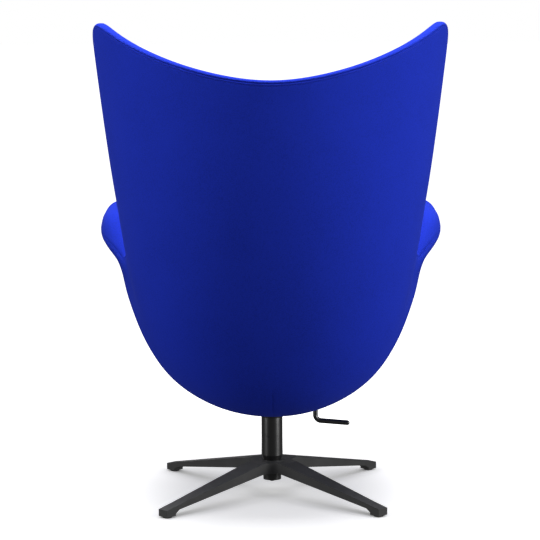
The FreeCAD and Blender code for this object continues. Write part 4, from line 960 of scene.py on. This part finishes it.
def make_springs():
    """Two wound springs in place of the frame's tilt springs, carried by the carriage."""
    low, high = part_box("tilt_springs")
    radius = (high.y - low.y) / 2 - SPRING_WIRE
    steps = np.linspace(0, 2 * math.pi * SPRING_TURNS, STEPS_PER_TURN * SPRING_TURNS + 1)
    rise = (high.z - low.z - 2 * SPRING_WIRE) * steps / steps[-1]
    out = np.stack((np.cos(steps), np.sin(steps), np.zeros_like(steps)), -1)
    up = np.tile((0, 0, 1.0), (len(steps), 1))
    winding = radius * out + up * rise[:, None]
    build = Builder()
    for x in (low.x + radius + SPRING_WIRE, high.x - radius - SPRING_WIRE):
        foot = np.array((x, (low.y + high.y) / 2, low.z + SPRING_WIRE))
        build.rod(build.add(hoops(foot + winding, out, up, SPRING_WIRE, SPRING_SIDES)))
    springs = link("wound_springs", build.mesh("wound_springs"), BRIGHT)
    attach(springs, "carriage")
    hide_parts("tilt_springs")
    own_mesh(springs)


# Stage, light and camera

# Camera: picture and focal length in pixels, sensor in millimetres, place and reach in metres, and
# turns in degrees
IMAGE_SIZE = 540
SENSOR = 36
FOCAL_PIXELS = 2256.6
CAMERA_PLACE = (0.032, 5.2, 1.2326)
CAMERA_PITCH = 7.714
CAMERA_YAW = -0.32
CAMERA_ROLL = -0.27
CAMERA_REACH = 100

# Floor: half its width, its tones, the painted pool of shade under the chair as a stretched disc, its own
# glow inside and outside that painted pool, and the share of that glow left as painted contact shade where
# something touches it
FLOOR_HALF = 30
FLOOR_TONES = ((0.86, 0.86, 0.86), (0.9, 0.9, 0.9))
PAINTED_SHADE_POOL_STRETCH = (1.6, 1, 1)
PAINTED_SHADE_POOL_SHIFT = (0, -0.1, 0)
PAINTED_SHADE_POOL_REACH = (0.3, 0.9)
FLOOR_GLOW_WITH_PAINTED_SHADE = (0.54, 1.1)
PAINTED_CONTACT_SHADE_REACH = 0.06
GLOW_LEFT_IN_PAINTED_CONTACT_SHADE = 0.1
PAINTED_CONTACT_SHADE_SAMPLES = 16

# Soft boxes, left and right as the camera sees them: place, aim, width and height in metres, watts
SOFTBOXES = {
    "top_box": ((0, 0.1, 2.9), (0, 0.05, 0.6), 2.4, 1.8, 75),
    "right_box": ((-2.5, 1.0, 0.95), (0, 0.2, 0.6), 0.8, 2.0, 30),
    "left_box": ((2.5, 1.0, 0.95), (0, 0.2, 0.6), 0.8, 2.0, 18),
    "right_strip": ((-1.6, 0.78, 0.25), (0, 0, 0.14), 0.6, 0.35, 16),
    "left_strip": ((1.6, 0.72, 0.25), (0, 0, 0.14), 0.5, 0.35, 5.5),
    "low_strip": ((1.3, -2.3, 0.6), (0, 0, 0.06), 1.6, 0.8, 12),
}

# Boxes that light no more than the named nodes
LIT_ALONE = {
    ("right_strip", "left_strip"): ("column_tube", "lever_rod"),
    ("low_strip",): ("base_casting",),
}
SURROUNDING_LIGHT = 0.11


def make_camera():
    data = bpy.data.cameras.new("camera")
    data.sensor_width = SENSOR
    data.lens = FOCAL_PIXELS * SENSOR / IMAGE_SIZE
    data.clip_end = CAMERA_REACH
    camera = bpy.data.objects.new("camera", data)
    bpy.context.scene.collection.objects.link(camera)
    turn = Matrix.Rotation(math.radians(180 + CAMERA_YAW), 4, "Z")
    tilt = Matrix.Rotation(math.radians(90 - CAMERA_PITCH), 4, "X")
    roll = Matrix.Rotation(math.radians(CAMERA_ROLL), 4, "Z")
    camera.matrix_world = Matrix.Translation(CAMERA_PLACE) @ turn @ tilt @ roll
    bpy.context.scene.camera = camera


def make_floor():
    """A pale floor, lit by the lamps and glowing as well, with painted shade in its glow under the chair
    and at its feet, that fades into the white surroundings.
    """
    build = Builder()
    sweep = np.linspace(-FLOOR_HALF, FLOOR_HALF, 3)
    x, y = np.meshgrid(sweep, sweep)
    build.fill(build.add(np.stack((x, y, np.zeros_like(x)), -1)))
    finish = Finish("pale_floor_painted_shade", roughness=0.8, emission_color=(1, 1, 1, 1), specular_ior_level=0.1)
    finish.colour(finish.noise(2), *FLOOR_TONES)
    # Painted shadow: the floor's glow is lower in a stretched pool under the chair
    painted_shade_pool = finish.stretched(PAINTED_SHADE_POOL_STRETCH, PAINTED_SHADE_POOL_SHIFT)
    distance = finish.add("ShaderNodeVectorMath", {"operation": "LENGTH"}, vector=painted_shade_pool)
    glow_with_painted_shade = finish.spread(distance.outputs["Value"], PAINTED_SHADE_POOL_REACH, FLOOR_GLOW_WITH_PAINTED_SHADE, "SMOOTHSTEP")
    # Painted contact shade: ambient occlusion lowers the glow where the legs and feet come close to the
    # floor
    painted_contact_shade = finish.add("ShaderNodeAmbientOcclusion", {"samples": PAINTED_CONTACT_SHADE_SAMPLES}, distance=PAINTED_CONTACT_SHADE_REACH)
    left = finish.sum(GLOW_LEFT_IN_PAINTED_CONTACT_SHADE, painted_contact_shade.outputs["AO"], 1 - GLOW_LEFT_IN_PAINTED_CONTACT_SHADE)
    finish.feed(finish.shader.inputs["Emission Strength"], finish.sum(0, glow_with_painted_shade, left))
    floor = link("floor", build.mesh("floor"), finish.material)
    floor.visible_diffuse = False
    floor.visible_glossy = False


def softbox(name, place, aim, width, height, watts):
    data = bpy.data.lights.new(name, "AREA")
    data.shape = "RECTANGLE"
    data.size, data.size_y = width, height
    data.energy = watts
    lamp = bpy.data.objects.new(name, data)
    bpy.context.scene.collection.objects.link(lamp)
    lamp.location = place
    lamp.rotation_euler = (Vector(aim) - Vector(place)).to_track_quat("-Z", "Y").to_euler()
    return lamp


def light_only(lamps, names):
    """Lets lamps light no more than the named nodes."""
    lit = bpy.data.collections.new("lit_" + names[0])
    for name in names:
        lit.objects.link(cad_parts[name])
    for lamp in lamps:
        lamp.light_linking.receiver_collection = lit


def make_lights():
    lamps = {name: softbox(name, *values) for name, values in SOFTBOXES.items()}
    for lamp_names, node_names in LIT_ALONE.items():
        light_only([lamps[name] for name in lamp_names], node_names)


def make_world():
    """White behind the object, dim all around it."""
    world = bpy.data.worlds.new("studio")
    bpy.context.scene.world = world
    world.use_nodes = True
    tree = world.node_tree
    dim = tree.nodes["Background"]
    dim.inputs["Color"].default_value = (1, 1, 1, 1)
    dim.inputs["Strength"].default_value = SURROUNDING_LIGHT
    white = tree.nodes.new("ShaderNodeBackground")
    white.inputs["Color"].default_value = (1, 1, 1, 1)
    mix = tree.nodes.new("ShaderNodeMixShader")
    path = tree.nodes.new("ShaderNodeLightPath")
    tree.links.new(path.outputs["Is Camera Ray"], mix.inputs[0])
    tree.links.new(dim.outputs[0], mix.inputs[1])
    tree.links.new(white.outputs[0], mix.inputs[2])
    tree.links.new(mix.outputs[0], tree.nodes["World Output"].inputs["Surface"])


finish_nodes()
make_upholstery()
make_cushion()
make_springs()
make_floor()
make_lights()
make_world()
make_camera()
bpy.context.scene.view_settings.view_transform = "Standard"
